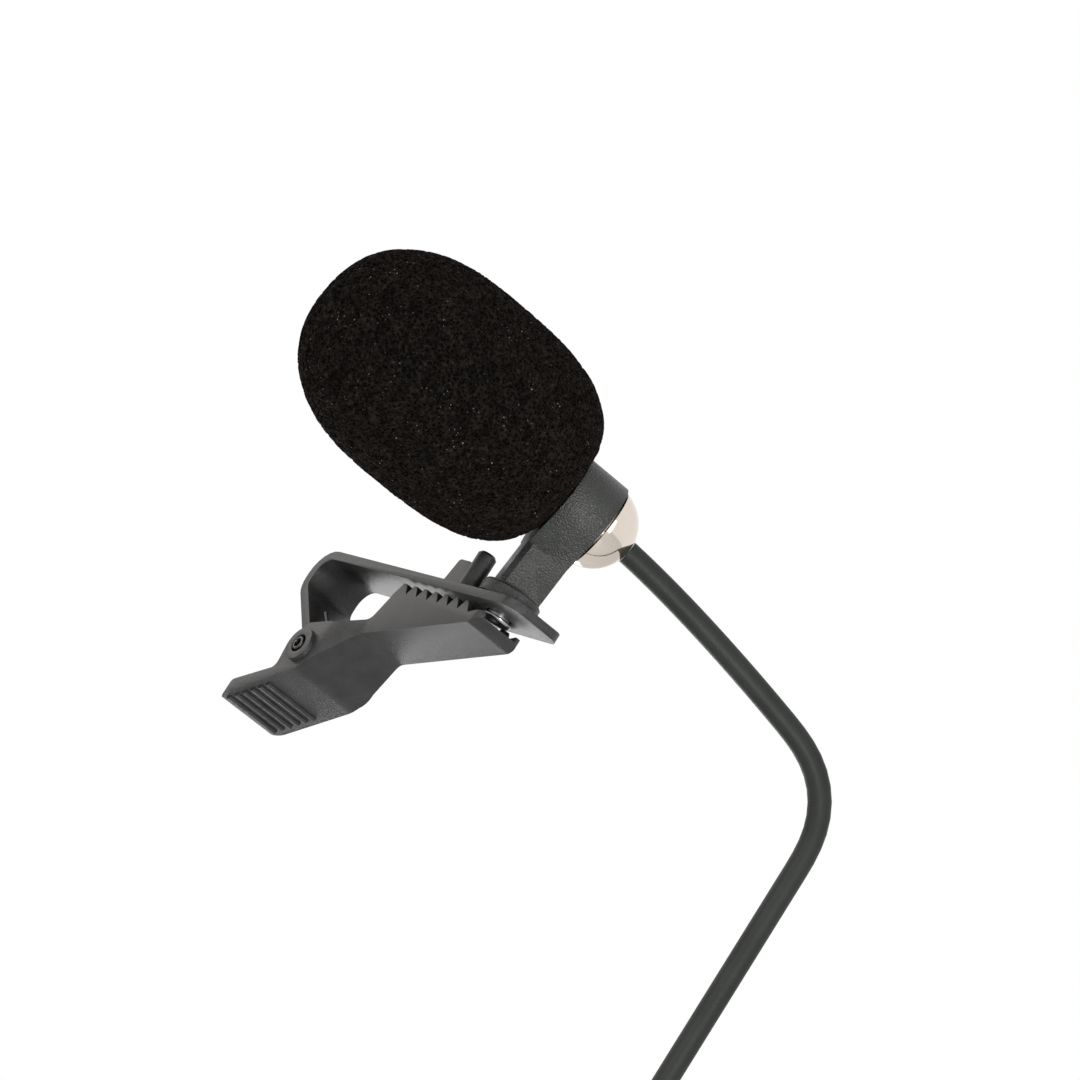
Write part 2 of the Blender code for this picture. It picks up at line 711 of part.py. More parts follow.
def swivel_rivet(parts, material):
    """Hollow rivet from the foot down through the plate, with its rolled head below the plate."""
    top = PLATE_THICK + SEAT + FOOT_THICK + NECK_THICK / 4
    head_top = -SEAT
    head_low = head_top - RIVET_HEAD_THICK
    profile = [
        (RIVET_RADIUS, top),
        (RIVET_RADIUS, head_top),
        (RIVET_HEAD_RADIUS - RIVET_HEAD_THICK / 3, head_top),
        (RIVET_HEAD_RADIUS, head_top - RIVET_HEAD_THICK / 3),
        (RIVET_HEAD_RADIUS - RIVET_HEAD_THICK / 3, head_low),
        (RIVET_BORE + RIVET_HEAD_THICK / 3, head_low),
        (RIVET_BORE, head_top - RIVET_HEAD_THICK / 3),
        (RIVET_BORE, top),
    ]
    place = Matrix.Translation((SWIVEL_X, 0, 0))
    return paint(turned("swivel_rivet", profile, parts, place, 24, ring=True), material)


# ---------------------------------------------------------------- microphone

def foam_profile():
    """The foam's outline: two superellipse quarters that meet at its widest place, cut flat at the rear."""
    tip = RING_LENGTH / 2 + SEAT + FOAM_LENGTH
    widest = tip - FOAM_NOSE
    rear_reach = FOAM_LENGTH - FOAM_NOSE
    points = [(0, tip)]
    for k in range(1, FOAM_RINGS + 1):
        angle = math.pi / 2 * k / FOAM_RINGS
        u = math.cos(angle) ** (2 / FOAM_NOSE_POWER)
        r = math.sin(angle) ** (2 / FOAM_NOSE_POWER)
        points.append((FOAM_RADIUS * r, widest + FOAM_NOSE * u))
    last = math.asin((FOAM_MOUTH_RADIUS / FOAM_RADIUS) ** (FOAM_REAR_POWER / 2))
    stretch = rear_reach / math.cos(last) ** (2 / FOAM_REAR_POWER)
    for k in range(1, FOAM_RINGS + 1):
        angle = math.pi / 2 + (math.pi / 2 - last) * k / FOAM_RINGS
        u = abs(math.cos(angle)) ** (2 / FOAM_REAR_POWER)
        r = math.sin(angle) ** (2 / FOAM_REAR_POWER)
        points.append((FOAM_RADIUS * r, widest - stretch * u))
    points.append((0, widest - rear_reach))
    return points


def windscreen(parts, cutters, material, place):
    raised = place @ Matrix.Translation((0, FOAM_RISE, 0))
    foam = turned("windscreen", foam_profile(), parts, raised, 28)
    reach = BARREL_NOSE + GRILLE_THICK + 2 * SEAT
    bore = rod("foam_bore", BARREL_RADIUS + SEAT, 0, reach, cutters, place, 24)
    cut(foam, bore)
    return paint(foam, material)


def barrel(parts, material, place):
    """Thin tube that runs through the ring and into the foam."""
    inner = BARREL_RADIUS - BARREL_WALL
    rear = -RING_LENGTH / 2
    return paint(washer("barrel", BARREL_RADIUS, inner, rear, BARREL_NOSE, parts, place), material)


def front_grille(parts, cutters, material, place):
    """Cap with a ring of sound holes round a middle one. Its lip plugs into the barrel."""
    low = BARREL_NOSE + FINE_SEAT
    top = low + GRILLE_THICK
    lip = BARREL_RADIUS - BARREL_WALL - FINE_SEAT
    inner = lip - BARREL_WALL
    cap = turned("front_grille", [
        (0, top),
        (BARREL_RADIUS - GRILLE_THICK / 3, top),
        (BARREL_RADIUS, top - GRILLE_THICK / 3),
        (BARREL_RADIUS, low),
        (lip, low),
        (lip, low - GRILLE_LIP),
        (inner, low - GRILLE_LIP),
        (inner, low),
        (0, low),
    ], parts, place)
    spots = [(0, 0)]
    ring = inner * 0.6
    for k in range(GRILLE_HOLES):
        angle = 2 * math.pi * k / GRILLE_HOLES
        spots.append((ring * math.cos(angle), ring * math.sin(angle)))
    for i, (x, y) in enumerate(spots):
        hole_place = place @ Matrix.Translation((x, y, 0))
        cut(cap, rod(f"sound_hole_{i + 1}", GRILLE_HOLE_RADIUS, 0, WIDE, cutters, hole_place, 10))
    return paint(cap, material)


def capsule(parts, cutters, finishes, place):
    """Dust screen, gasket, can, diaphragm ring, back plate and board, stacked behind the grille."""
    inside = BARREL_RADIUS - BARREL_WALL - FINE_SEAT
    lip_inside = inside - BARREL_WALL - FINE_SEAT
    screen_top = BARREL_NOSE
    screen_low = screen_top - SCREEN_THICK
    paint(rod("dust_screen", lip_inside, screen_low, screen_top, parts, place, SMALL_STEPS), finishes["felt"])

    top = BARREL_NOSE + FINE_SEAT - GRILLE_LIP - FINE_SEAT
    low = top - CAPSULE_LENGTH
    paint(washer("capsule_gasket", inside, CAPSULE_RADIUS + FINE_SEAT, low, top, parts, place, SMALL_STEPS),
          finishes["rubber"])
    bore = CAPSULE_RADIUS - CAPSULE_WALL
    can = turned("capsule_can", [
        (CAPSULE_RADIUS, top),
        (CAPSULE_RADIUS, low),
        (bore, low),
        (bore, top - CAPSULE_WALL),
        (CAPSULE_PORT, top - CAPSULE_WALL),
        (CAPSULE_PORT, top),
    ], parts, place, SMALL_STEPS, ring=True)
    paint(can, finishes["aluminium"])

    fit = bore - FINE_SEAT
    level = top - CAPSULE_WALL - FINE_SEAT
    paint(rod("diaphragm", fit, level - DIAPHRAGM_THICK, level, parts, place, SMALL_STEPS), finishes["foil"])
    level -= DIAPHRAGM_THICK + FINE_SEAT
    back = rod("back_plate", fit, level - BACK_PLATE_THICK, level, parts, place, SMALL_STEPS)
    for k in range(4):
        angle = math.pi / 2 * k
        spot = place @ Matrix.Translation((fit / 2 * math.cos(angle), fit / 2 * math.sin(angle), 0))
        cut(back, rod(f"back_hole_{k + 1}", fit / 8, 0, WIDE, cutters, spot, 8))
    paint(back, finishes["brass"])
    paint(rod("capsule_board", fit, low, low + BOARD_THICK, parts, place, SMALL_STEPS), finishes["board"])
    paint(washer("back_chamber", fit, fit - CAPSULE_WALL * 2, low + BOARD_THICK + FINE_SEAT,
                 level - BACK_PLATE_THICK - FINE_SEAT, parts, place, SMALL_STEPS), finishes["rubber"])
    return low


def rear_dome(parts, material, place):
    """Polished dome behind the ring, hollow, with a spigot in the barrel and a hole for the cable."""
    face = -RING_LENGTH / 2 - SEAT
    middle = -DOME_REACH + DOME_RADIUS
    hole = CABLE_RADIUS + SEAT
    spigot = BARREL_RADIUS - BARREL_WALL - SEAT
    spigot_bore = spigot - DOME_WALL
    inner_radius = DOME_RADIUS - DOME_WALL
    start = math.asin((middle - face) / DOME_RADIUS)
    end = math.acos(hole / DOME_RADIUS)
    inner_start = math.acos(spigot_bore / inner_radius)
    inner_end = math.acos(hole / inner_radius)
    count = 9
    profile = [(spigot, face + DOME_SPIGOT), (spigot, face)]
    for k in range(count + 1):
        angle = start + (end - start) * k / count
        profile.append((DOME_RADIUS * math.cos(angle), middle - DOME_RADIUS * math.sin(angle)))
    for k in range(5):
        angle = inner_end + (inner_start - inner_end) * k / 4
        profile.append((inner_radius * math.cos(angle), middle - inner_radius * math.sin(angle)))
    profile.append((spigot_bore, face + DOME_SPIGOT))
    return paint(turned("rear_dome", profile, parts, place, ROUND_STEPS, ring=True), material)


def cable_start():
    """Where the cable's jacket begins inside the dome, measured along the microphone's axis."""
    return -DOME_REACH + DOME_WALL * 2


def crimp_ferrule(parts, material, place):
    """Sleeve that holds the cable's wires inside the dome."""
    low = cable_start() + SEAT
    return paint(washer("crimp_ferrule", CABLE_RADIUS, CABLE_RADIUS - FERRULE_WALL, low, low + FERRULE_LENGTH,
                        parts, place, SMALL_STEPS), material)


def inner_wires(parts, finishes, place, capsule_back):
    """The cable's two wires, from the ferrule to the capsule's board."""
    low = cable_start() + SEAT * 2
    top = capsule_back - SEAT
    for side, name in ((-1, "signal_wire"), (1, "ground_wire")):
        near = side * (WIRE_RADIUS + FINE_SEAT)
        far = side * CAPSULE_RADIUS / 2
        points = [place @ Vector((near, 0, low)), place @ Vector((near, 0, low + FERRULE_LENGTH))]
        for k in range(1, 9):
            share = k / 9
            height = low + FERRULE_LENGTH + (top - FERRULE_LENGTH - low) * share
            points.append(place @ Vector((near + (far - near) * smooth_step(share), 0, height)))
        points.append(place @ Vector((far, 0, top)))
        paint(tube(name, points, WIRE_RADIUS, parts, 0), finishes[name])


# ---------------------------------------------------------------- cable

def smooth_step(share):
    share = min(1.0, max(0.0, share))
    return share * share * (3 - 2 * share)


def free_bend():
    """Cable from inside the dome: it leaves along the microphone, sags a little and then bends straight down."""
    point = RING_CENTRE + NOSE * cable_start()
    points = [point]
    length = SAG_LENGTH + BEND_LENGTH
    steps = 80
    for k in range(steps):
        run = length * (k + 0.5) / steps
        sag = LEAN + CABLE_SAG * math.sqrt(run / length)
        slope = sag + (math.pi / 2 - CABLE_SAG - LEAN) * smooth_step((run - SAG_LENGTH) / BEND_LENGTH)
        point = point + (AWAY * math.cos(slope) - UP * math.sin(slope)) * (length / steps)
        points.append(point)
    return points


def level_bend():
    """Steps of the smooth bend from hanging to level: how far along and how far down each one goes."""
    steps = 30
    moves = []
    for k in range(steps):
        slope = math.pi / 2 * (1 - smooth_step((k + 0.5) / steps))
        moves.append((math.cos(slope) * ENTRY_BEND / steps, math.sin(slope) * ENTRY_BEND / steps))
    return moves


def coil_entry():
    """Where the cable meets the coil's first turn, and the level way it runs there."""
    below = free_bend()[-1]
    along = Matrix.Rotation(ENTRY_TURN, 3, "Z") @ AWAY
    level = SURFACE + TIE_THICK + SEAT + CABLE_RADIUS + COIL_PITCH * (COIL_LAYERS - 1)
    lead = sum(ahead for ahead, _ in level_bend()) + CABLE_RADIUS * 4 + SEAT
    return Vector((below.x, below.y, level)) + along * lead, along


def cable_route():
    """Free cable from the dome down to the coil's top layer, which it meets level and straight."""
    points = free_bend()
    entry, along = coil_entry()
    top = points[-1]
    drop = top.z - entry.z - sum(down for _, down in level_bend())
    for k in range(1, 21):
        points.append(top - UP * (drop * k / 20))
    for ahead, down in level_bend():
        points.append(points[-1] + along * ahead - UP * down)
    points.append(entry - along * (CABLE_RADIUS * 2 + SEAT))
    return points


def coil_middle():
    entry, along = coil_entry()
    inward = UP.cross(along)
    return entry + inward * (COIL_RADIUS + COIL_PITCH * COIL_TURNS / 2)


def coil_points():
    """Turns that spiral in on the top layer and out on the next, with each climb in the half turn between."""
    entry, along = coil_entry()
    middle = coil_middle()
    first = math.atan2(entry.y - middle.y, entry.x - middle.x)
    travel = COIL_PITCH * COIL_TURNS
    layer_points = COIL_TURNS * COIL_TURN_POINTS
    points = []
    for k in range(COIL_LAYERS * layer_points + 1):
        layer = min(k // layer_points, COIL_LAYERS - 1)
        share = (k - layer * layer_points) / layer_points
        inward = share if layer % 2 == 0 else 1 - share
        radius = COIL_RADIUS + travel * (0.5 - inward)
        climb = 0.0
        for change in range(1, COIL_LAYERS):
            climb += smooth_step((k - change * layer_points) / (COIL_TURN_POINTS / 2) + 0.5)
        angle = first + 2 * math.pi * k / COIL_TURN_POINTS
        spoke = Vector((math.cos(angle), math.sin(angle), 0))
        points.append(middle + spoke * radius - UP * (COIL_PITCH * climb))
    return points


def least_self_gap(points, radius):
    """Least space between two parts of one tube that are at least half a turn apart along it."""
    least = WIDE
    apart = COIL_TURN_POINTS // 2
    for i, here in enumerate(points):
        for j in range(i + apart, len(points) - 1):
            a, b = points[j], points[j + 1]
            line = b - a
            share = min(1.0, max(0.0, (here - a).dot(line) / line.length_squared))
            least = min(least, (a + line * share - here).length)
    return least - 2 * radius


def cable(parts, material):
    """The free cable and the coil, and the place where the coil's last turn ends."""
    paint(tube("cable_run", resampled(cable_route(), CABLE_STEP), CABLE_RADIUS, parts), material)
    along = coil_entry()[1]
    turns = coil_points()
    lead = along * (CABLE_RADIUS * 2)
    path = [turns[0] - lead, *turns, turns[-1] + lead]
    paint(tube("cable_coil", path, CABLE_RADIUS, parts, 1), material)
    print(f"cable_coil: least gap to itself {least_self_gap(path, CABLE_RADIUS) / MM:.2f} mm")
    return path[-1], along


def coil_tie(parts, cutters, material):
    """Strap round the coil, half a turn from where the cable meets it."""
    entry, along = coil_entry()
    middle = coil_middle()
    out = (middle - entry).normalized()
    bow = TIE_WIDTH / 2 * math.tan(math.pi / COIL_TURN_POINTS)
    half_wide = COIL_PITCH * (COIL_TURNS - 1) / 2 + CABLE_RADIUS + SEAT + bow
    half_high = COIL_PITCH * (COIL_LAYERS - 1) / 2 + CABLE_RADIUS + SEAT
    low = SURFACE + TIE_THICK + half_high
    centre = Vector((middle.x, middle.y, low)) + out * COIL_RADIUS
    place = frame_of(out, UP, out.cross(UP), centre)
    outer_wide = half_wide + TIE_THICK
    outer_high = half_high + TIE_THICK
    bend = CABLE_RADIUS
    tie = slab("coil_tie", rounded(rectangle(outer_wide, outer_high, bend)), TIE_WIDTH, place, parts)
    inside = slab("tie_inside", rounded(rectangle(half_wide, half_high, bend - TIE_THICK)), TIE_WIDTH * 2, place,
                  cutters)
    cut(tie, inside)
    return paint(tie, material)


def rectangle(half_wide, half_high, radius):
    return [
        (-half_wide, -half_high, radius),
        (half_wide, -half_high, radius),
        (half_wide, half_high, radius),
        (-half_wide, half_high, radius),
    ]


# ---------------------------------------------------------------- plug

def tail_and_plug(parts, finishes, start, along):
    """Short length of cable from the coil to the plug, which lies on the surface beside the coil."""
    height = SURFACE + SHELL_RADIUS - start.z
    origin = start + along * SEAT
    straight = CABLE_RADIUS * 2
    end = origin + along * TAIL_LENGTH + UP * height
    fine = [origin, origin + along * straight]
    for k in range(1, 13):
        share = k / 12
        reach = straight + (TAIL_LENGTH - 2 * straight) * share
        fine.append(origin + along * reach + UP * (height * smooth_step(share)))
    fine.append(end)
    paint(tube("cable_tail", resampled(fine, CABLE_STEP), CABLE_RADIUS, parts), finishes["cable"])
    side = UP.cross(along)
    boot_start = end - along * (CABLE_RADIUS * 4)
    place = frame_of(side, along.cross(side), along, boot_start)
    plug_pieces(parts, finishes, place)


def plug_pieces(parts, finishes, place):
    """Boot, shell and the contacts of a 3.5 mm plug. The place's Z runs toward the plug's tip."""
    bore = CABLE_RADIUS + SEAT
    boot = turned("plug_boot", [
        (BOOT_RADIUS, BOOT_LENGTH),
        (BOOT_RADIUS, BOOT_LENGTH * 0.7),
        (bore + SEAT * 2, 0),
        (bore, 0),
        (bore, BOOT_LENGTH),
    ], parts, place, SMALL_STEPS, ring=True)
    paint(boot, finishes["rubber"])

    low = BOOT_LENGTH * 0.7
    top = low + SHELL_LENGTH
    cap = WALL * 1.5
    core = PLUG_CORE_RADIUS + FINE_SEAT
    shell = turned("plug_shell", [
        (core, top),
        (SHELL_RADIUS - cap / 2, top),
        (SHELL_RADIUS, top - cap / 2),
        (SHELL_RADIUS, low + cap / 2),
        (SHELL_RADIUS - cap / 2, low),
        (BOOT_RADIUS + SEAT, low),
        (BOOT_RADIUS + SEAT, top - cap * 2),
        (core, top - cap * 2),
    ], parts, place, 28, ring=True)
    paint(shell, finishes["steel"])

    level = top + SEAT
    for name, length, key in (
        ("plug_sleeve", SLEEVE_LENGTH, "brass"),
        ("plug_band_1", BAND_LENGTH, "rubber"),
        ("plug_ring_contact", RING_CONTACT_LENGTH, "brass"),
        ("plug_band_2", BAND_LENGTH, "rubber"),
    ):
        paint(washer(name, PLUG_RADIUS, core, level, level + length, parts, place, SMALL_STEPS), finishes[key])
        level += length + FINE_SEAT
    tip = turned("plug_tip", [
        (0, level + TIP_LENGTH),
        (PLUG_RADIUS * 0.35, level + TIP_LENGTH),
        (PLUG_RADIUS * 0.8, level + TIP_LENGTH * 0.72),
        (PLUG_RADIUS * 0.62, level + TIP_LENGTH * 0.42),
        (PLUG_RADIUS, level + TIP_LENGTH * 0.3),
        (PLUG_RADIUS, level),
        (PLUG_CORE_RADIUS, level),
        (PLUG_CORE_RADIUS, top - cap * 2),
        (0, top - cap * 2),
    ], parts, place, SMALL_STEPS)
    paint(tip, finishes["brass"])


# ---------------------------------------------------------------- build

def main():
    clear_scene()
    parts = new_collection("lavalier_microphone")
    cutters = new_collection("cutters", hidden=True)
    finishes = {
        "clip": finish("clip_plastic", (0.045, 0.047, 0.05), 0.42),
        "holder": finish("holder_plastic", (0.04, 0.045, 0.043), 0.5),
        "foam": finish("foam", (0.012, 0.011, 0.011), 0.95),
        "chrome": finish("polished_steel", (0.8, 0.77, 0.73), 0.12, 1.0),
        "steel": finish("steel", (0.5, 0.5, 0.5), 0.3, 1.0),
        "black": finish("black_tube", (0.02, 0.02, 0.02), 0.35, 0.6),
        "felt": finish("felt", (0.03, 0.03, 0.03), 0.9),
        "rubber": finish("rubber", (0.02, 0.02, 0.02), 0.7),
        "aluminium": finish("aluminium", (0.7, 0.7, 0.7), 0.35, 1.0),
        "foil": finish("gold_foil", (0.8, 0.6, 0.25), 0.25, 1.0),
        "brass": finish("brass", (0.7, 0.55, 0.25), 0.3, 1.0),
        "board": finish("circuit_board", (0.03, 0.15, 0.06), 0.5),
        "signal_wire": finish("signal_insulation", (0.5, 0.03, 0.03), 0.45),
        "ground_wire": finish("ground_insulation", (0.03, 0.03, 0.03), 0.45),
        "cable": finish("cable_jacket", (0.025, 0.028, 0.027), 0.4),
    }
    upper_lever(parts, cutters, finishes["clip"])
    lower_lever(parts, cutters, finishes["clip"])
    pivot_pin(parts, finishes["steel"])
    torsion_spring(parts, finishes["steel"])
    place = frame_of(ACROSS, NECK_UP, NOSE, RING_CENTRE)
    ring_holder(parts, cutters, finishes["holder"], place)
    swivel_rivet(parts, finishes["steel"])
    windscreen(parts, cutters, finishes["foam"], place)
    barrel(parts, finishes["black"], place)
    front_grille(parts, cutters, finishes["black"], place)
    capsule_back = capsule(parts, cutters, finishes, place)
    rear_dome(parts, finishes["chrome"], place)
    crimp_ferrule(parts, finishes["brass"], place)
    inner_wires(parts, finishes, place, capsule_back)
    start, along = cable(parts, finishes["cable"])
    coil_tie(parts, cutters, finishes["rubber"])
    tail_and_plug(parts, finishes, start, along)
    hide_cutters(cutters)


main()
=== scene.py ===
"""Looks of a clip-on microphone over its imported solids: foam, moulded clip, polished dome, cable and plug."""

import math

import bmesh
import bpy
import numpy as np
from mathutils import Matrix


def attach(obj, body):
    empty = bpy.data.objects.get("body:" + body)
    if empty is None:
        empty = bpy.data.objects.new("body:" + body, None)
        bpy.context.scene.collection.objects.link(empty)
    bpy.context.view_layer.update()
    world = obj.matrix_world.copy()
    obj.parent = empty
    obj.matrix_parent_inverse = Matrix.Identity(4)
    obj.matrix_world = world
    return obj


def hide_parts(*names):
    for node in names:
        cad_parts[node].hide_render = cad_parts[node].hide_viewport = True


bl_info = {
    "name": "Lavalier Microphone",
    "version": (1, 0, 0),
    "blender": (4, 5, 0),
    "location": "View3D > Sidebar > Microphone",
    "description": "Builds a clip-on microphone and its studio round the packed solids",
    "category": "Add Mesh",
}

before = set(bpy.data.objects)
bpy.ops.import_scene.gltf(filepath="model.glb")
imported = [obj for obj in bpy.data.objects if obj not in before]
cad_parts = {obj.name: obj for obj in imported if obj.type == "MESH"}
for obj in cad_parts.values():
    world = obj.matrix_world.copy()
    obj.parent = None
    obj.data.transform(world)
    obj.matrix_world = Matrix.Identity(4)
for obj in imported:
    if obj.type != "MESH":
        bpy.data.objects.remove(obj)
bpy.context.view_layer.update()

MM = 0.001

# Places, as the solids have them
SWIVEL_TURN = math.radians(20)
LEAN = math.radians(5)
SWIVEL_X = 7.7 * MM
PLATE_THICK = 1.0 * MM
RING_HEIGHT = 12.6 * MM
SURFACE_DROP = 130 * MM
UP = np.array((0.0, 0.0, 1.0))
ACROSS = np.array((math.cos(SWIVEL_TURN), -math.sin(SWIVEL_TURN), 0))
AWAY = np.array((math.sin(SWIVEL_TURN), math.cos(SWIVEL_TURN), 0))
NOSE = UP * math.sin(LEAN) - AWAY * math.cos(LEAN)
NECK_UP = UP * math.cos(LEAN) + AWAY * math.sin(LEAN)
SWIVEL_FOOT = np.array((SWIVEL_X, 0, 0))
RING_CENTRE = SWIVEL_FOOT + UP * PLATE_THICK + NECK_UP * (RING_HEIGHT / math.cos(LEAN))
MICROPHONE_PLACE = (RING_CENTRE, ACROSS, NECK_UP, NOSE)
SURFACE = RING_CENTRE[2] - SURFACE_DROP

# Cable, as the solids lie
CABLE_RADIUS = 1.25 * MM
CABLE_START = -5.2 * MM
CABLE_SAG = math.radians(14)
SAG_LENGTH = 25 * MM
BEND_LENGTH = 17.5 * MM
ENTRY_BEND = 26 * MM
ENTRY_TURN = math.radians(170)
SEAT = 0.3 * MM
TIE_THICK = 0.5 * MM
COIL_RADIUS = 13.75 * MM
COIL_PITCH = 2.95 * MM
COIL_LAYERS = 4
COIL_TURNS = 3
TURN_STEPS = 48
SHELL_RADIUS = 3.9 * MM
TAIL_LENGTH = 16 * MM
PATH_STEP = 1.5 * MM

# Foam, as the solid has it, and the size of its mesh and lumps
FOAM_RADIUS = 11.45 * MM
FOAM_NOSE = 14.5 * MM
FOAM_LENGTH = 31.4 * MM
FOAM_TIP = 34.15 * MM
FOAM_MOUTH = 5.6 * MM
FOAM_RISE = 0.8 * MM
FOAM_STEP = 0.185 * MM
FOAM_COLUMNS = 372
LUMP_SIZE = 3.1 * MM
LUMP_DEPTH = 0.1 * MM

# Clip, as the solids have it
PIVOT = np.array((-15.3, 0, -10.5)) * MM
MERGE_DISTANCE = 2e-6
MERGE_ANGLE = math.radians(1.0)
EDGE_ANGLE = math.radians(28)

# Levels of plain reflection, of the world's light, and of the white that the floor shows to the camera
PLASTIC_GLOSS = 0.4
JACKET_GLOSS = 0.2
WORLD_LEVEL = 0.3
FLOOR_WHITE = 0.6

# Camera
CAMERA_AZIMUTH = math.radians(59.3)
CAMERA_ELEVATION = math.radians(-11.4)
CAMERA_ROLL = math.radians(32.6)
CAMERA_DISTANCE = 600 * MM
CAMERA_TARGET = np.array((-15.3, -5.15, -10.5)) * MM
TARGET_RIGHT = 25.15 * MM
TARGET_UP = 10.5 * MM
TARGET_TOWARD = 8.0 * MM
FRAME_WIDTH = 110.2 * MM
SENSOR = 36.0

# Multipliers of the scattered points
SCATTER_AXES = np.array((127.1, 311.7, 74.7))
SCATTER_SEED = 19.19
SCATTER_SHIFT = 47.3
SCATTER_SCALE = 43758.5453


# ---------------------------------------------------------------- shader expressions

class Socket:
    """An output of a node. Used in an expression, it adds the Math nodes that the expression needs."""

    def __init__(self, tree, output):
        self.tree = tree
        self.output = output

    def math(self, operation, first, second=None):
        sockets = {0: first}
        if second is not None:
            sockets[1] = second
        return self.tree.node("ShaderNodeMath", {"operation": operation}, sockets)

    def __add__(self, other):
        return self.math("ADD", self, other)

    def __radd__(self, other):
        return self.math("ADD", other, self)

    def __sub__(self, other):
        return self.math("SUBTRACT", self, other)

    def __rsub__(self, other):
        return self.math("SUBTRACT", other, self)

    def __mul__(self, other):
        return self.math("MULTIPLY", self, other)

    def __rmul__(self, other):
        return self.math("MULTIPLY", other, self)


class Finish:
    """A material with its Principled shader."""

    def __init__(self, name, **values):
        self.material = bpy.data.materials.new(name)
        self.material.use_nodes = True
        self.nodes = self.material.node_tree.nodes
        self.links = self.material.node_tree.links
        self.shader = self.nodes["Principled BSDF"]
        for key, value in values.items():
            self.put(self.shader.inputs[key.replace("_", " ")], value)

    def put(self, socket, value):
        if isinstance(value, Socket):
            self.links.new(value.output, socket)
        elif hasattr(value, "__len__") and len(value) == 3 and socket.type == "RGBA":
            socket.default_value = (*value, 1)
        else:
            socket.default_value = value

    def node(self, kind, settings=None, sockets=None, out=0):
        """Adds a node: its settings, a ramp's stops among them, and then its sockets' values or links."""
        made = self.nodes.new(kind)
        for key, value in (settings or {}).items():
            if key == "stops":
                ramp = made.color_ramp
                while len(ramp.elements) < len(value):
                    ramp.elements.new(0.5)
                for element, (place, level) in zip(ramp.elements, value):
                    element.position = place
                    element.color = (level, level, level, 1)
            else:
                setattr(made, key, value)
        for key, value in (sockets or {}).items():
            self.put(made.inputs[key], value)
        return Socket(self, made.outputs[out])

    def place(self, stretch=(1, 1, 1)):
        """Object coordinates, stretched."""
        spot = self.node("ShaderNodeTexCoord", out="Object")
        if tuple(stretch) == (1, 1, 1):
            return spot
        return self.node("ShaderNodeMapping", {}, {"Vector": spot, "Scale": stretch})

    def noise(self, size, detail=2.0, rough=0.5, stretch=(1, 1, 1)):
        """Soft noise with spots of a size in metres."""
        return self.node("ShaderNodeTexNoise", {}, {
            "Vector": self.place(stretch),
            "Scale": 1 / size,
            "Detail": detail,
            "Roughness": rough,
        })

    def cells(self, size, feature="F1"):
        """Distance to the nearest of scattered points that lie about a size apart."""
        return self.node("ShaderNodeTexVoronoi", {"feature": feature}, {
            "Vector": self.place(),
            "Scale": 1 / size,
        }, out="Distance")

    def ramp(self, value, *stops):
        return self.node("ShaderNodeValToRGB", {"stops": stops}, {"Fac": value})

    def blend(self, share, first, second):
        return self.node("ShaderNodeMix", {"data_type": "RGBA"}, {0: share, 6: first, 7: second}, out=2)

    def relief(self, height, depth, strength=1.0):
        """Bump of a height from 0 to 1 that stands for a depth in metres."""
        normal = self.node("ShaderNodeBump", {}, {"Height": height, "Distance": depth, "Strength": strength})
        self.put(self.shader.inputs["Normal"], normal)

    def colour(self, value):
        self.put(self.shader.inputs["Base Color"], value)

    def roughness(self, value):
        self.put(self.shader.inputs["Roughness"], value)


def moulded_plastic(name, colour, grain, depth, shine):
    """Satin moulded plastic: a fine spark-eroded grain, faint mottling and slightly uneven gloss."""
    made = Finish(name, Specular_IOR_Level=PLASTIC_GLOSS)
    mottle = made.noise(2.6 * MM, 3.0)
    fine = made.noise(grain, 1.5, 0.6)
    pale = tuple(c * 1.35 + 0.005 for c in colour)
    dark = tuple(c * 0.8 for c in colour)
    made.colour(made.blend(made.ramp(mottle, (0.3, 0), (0.7, 1)), dark, pale))
    made.roughness(shine + 0.16 * (fine - 0.5) + 0.10 * (mottle - 0.5))
    made.relief(made.ramp(fine, (0.25, 0), (0.75, 1)), grain * depth, 0.85)
    return made.material


def open_foam(name, colour, cell):
    """Open-cell foam: thin struts with painted shade in the pits between them, brown and grey mottling, and
    painted glints in a few cells.
    """
    made = Finish(name, Specular_IOR_Level=0.02, Sheen_Weight=0.035, Sheen_Roughness=0.5,
                  Sheen_Tint=(0.6, 0.47, 0.36))
    pits = made.cells(cell)
    small = made.cells(cell * 0.55)
    cloud = made.noise(1.3 * MM, 4.0, 0.65)
    struts = made.ramp(pits * 0.6 + small * 0.4, (0.3, 0), (0.7, 1))
    warm = tuple(c * k for c, k in zip(colour, (3.5, 3.15, 3.1)))
    cool = tuple(c * k for c, k in zip(colour, (1.0, 1.15, 1.2)))
    # painted shade: the pits take a colour far darker than the struts, standing in for the shade inside the
    # foam's holes
    painted_pit_shade = tuple(c * 0.12 for c in colour)
    tone = made.blend(made.ramp(cloud, (0.4, 0), (0.62, 1)), warm, cool)
    patches = made.ramp(made.noise(2.3 * MM, 2.0), (0.5, 0), (0.66, 1))
    # painted glints: a few scattered cells, in patches, take a colour 42 times the foam's and stand in for
    # highlights
    painted_glints = made.ramp(made.cells(cell * 1.4), (0.1, 1), (0.17, 0)) * patches
    made.colour(made.blend(painted_glints, made.blend(struts, painted_pit_shade, tone), tuple(c * 42 for c in colour)))
    made.roughness(0.9 - 0.2 * struts)
    made.relief(struts, cell * 0.7)
    return made.material


def polished_metal(name, colour):
    """Bright metal with the faint haze of handling."""
    made = Finish(name, Metallic=1.0)
    haze = made.noise(1.9 * MM, 4.0, 0.65)
    made.colour(made.blend(made.ramp(haze, (0.35, 0), (0.75, 1)), colour, tuple(c * 0.93 for c in colour)))
    made.roughness(0.07 + 0.09 * made.ramp(haze, (0.45, 0), (0.8, 1)))
    made.relief(made.noise(3.4 * MM, 1.0), 0.006 * MM, 0.4)
    return made.material


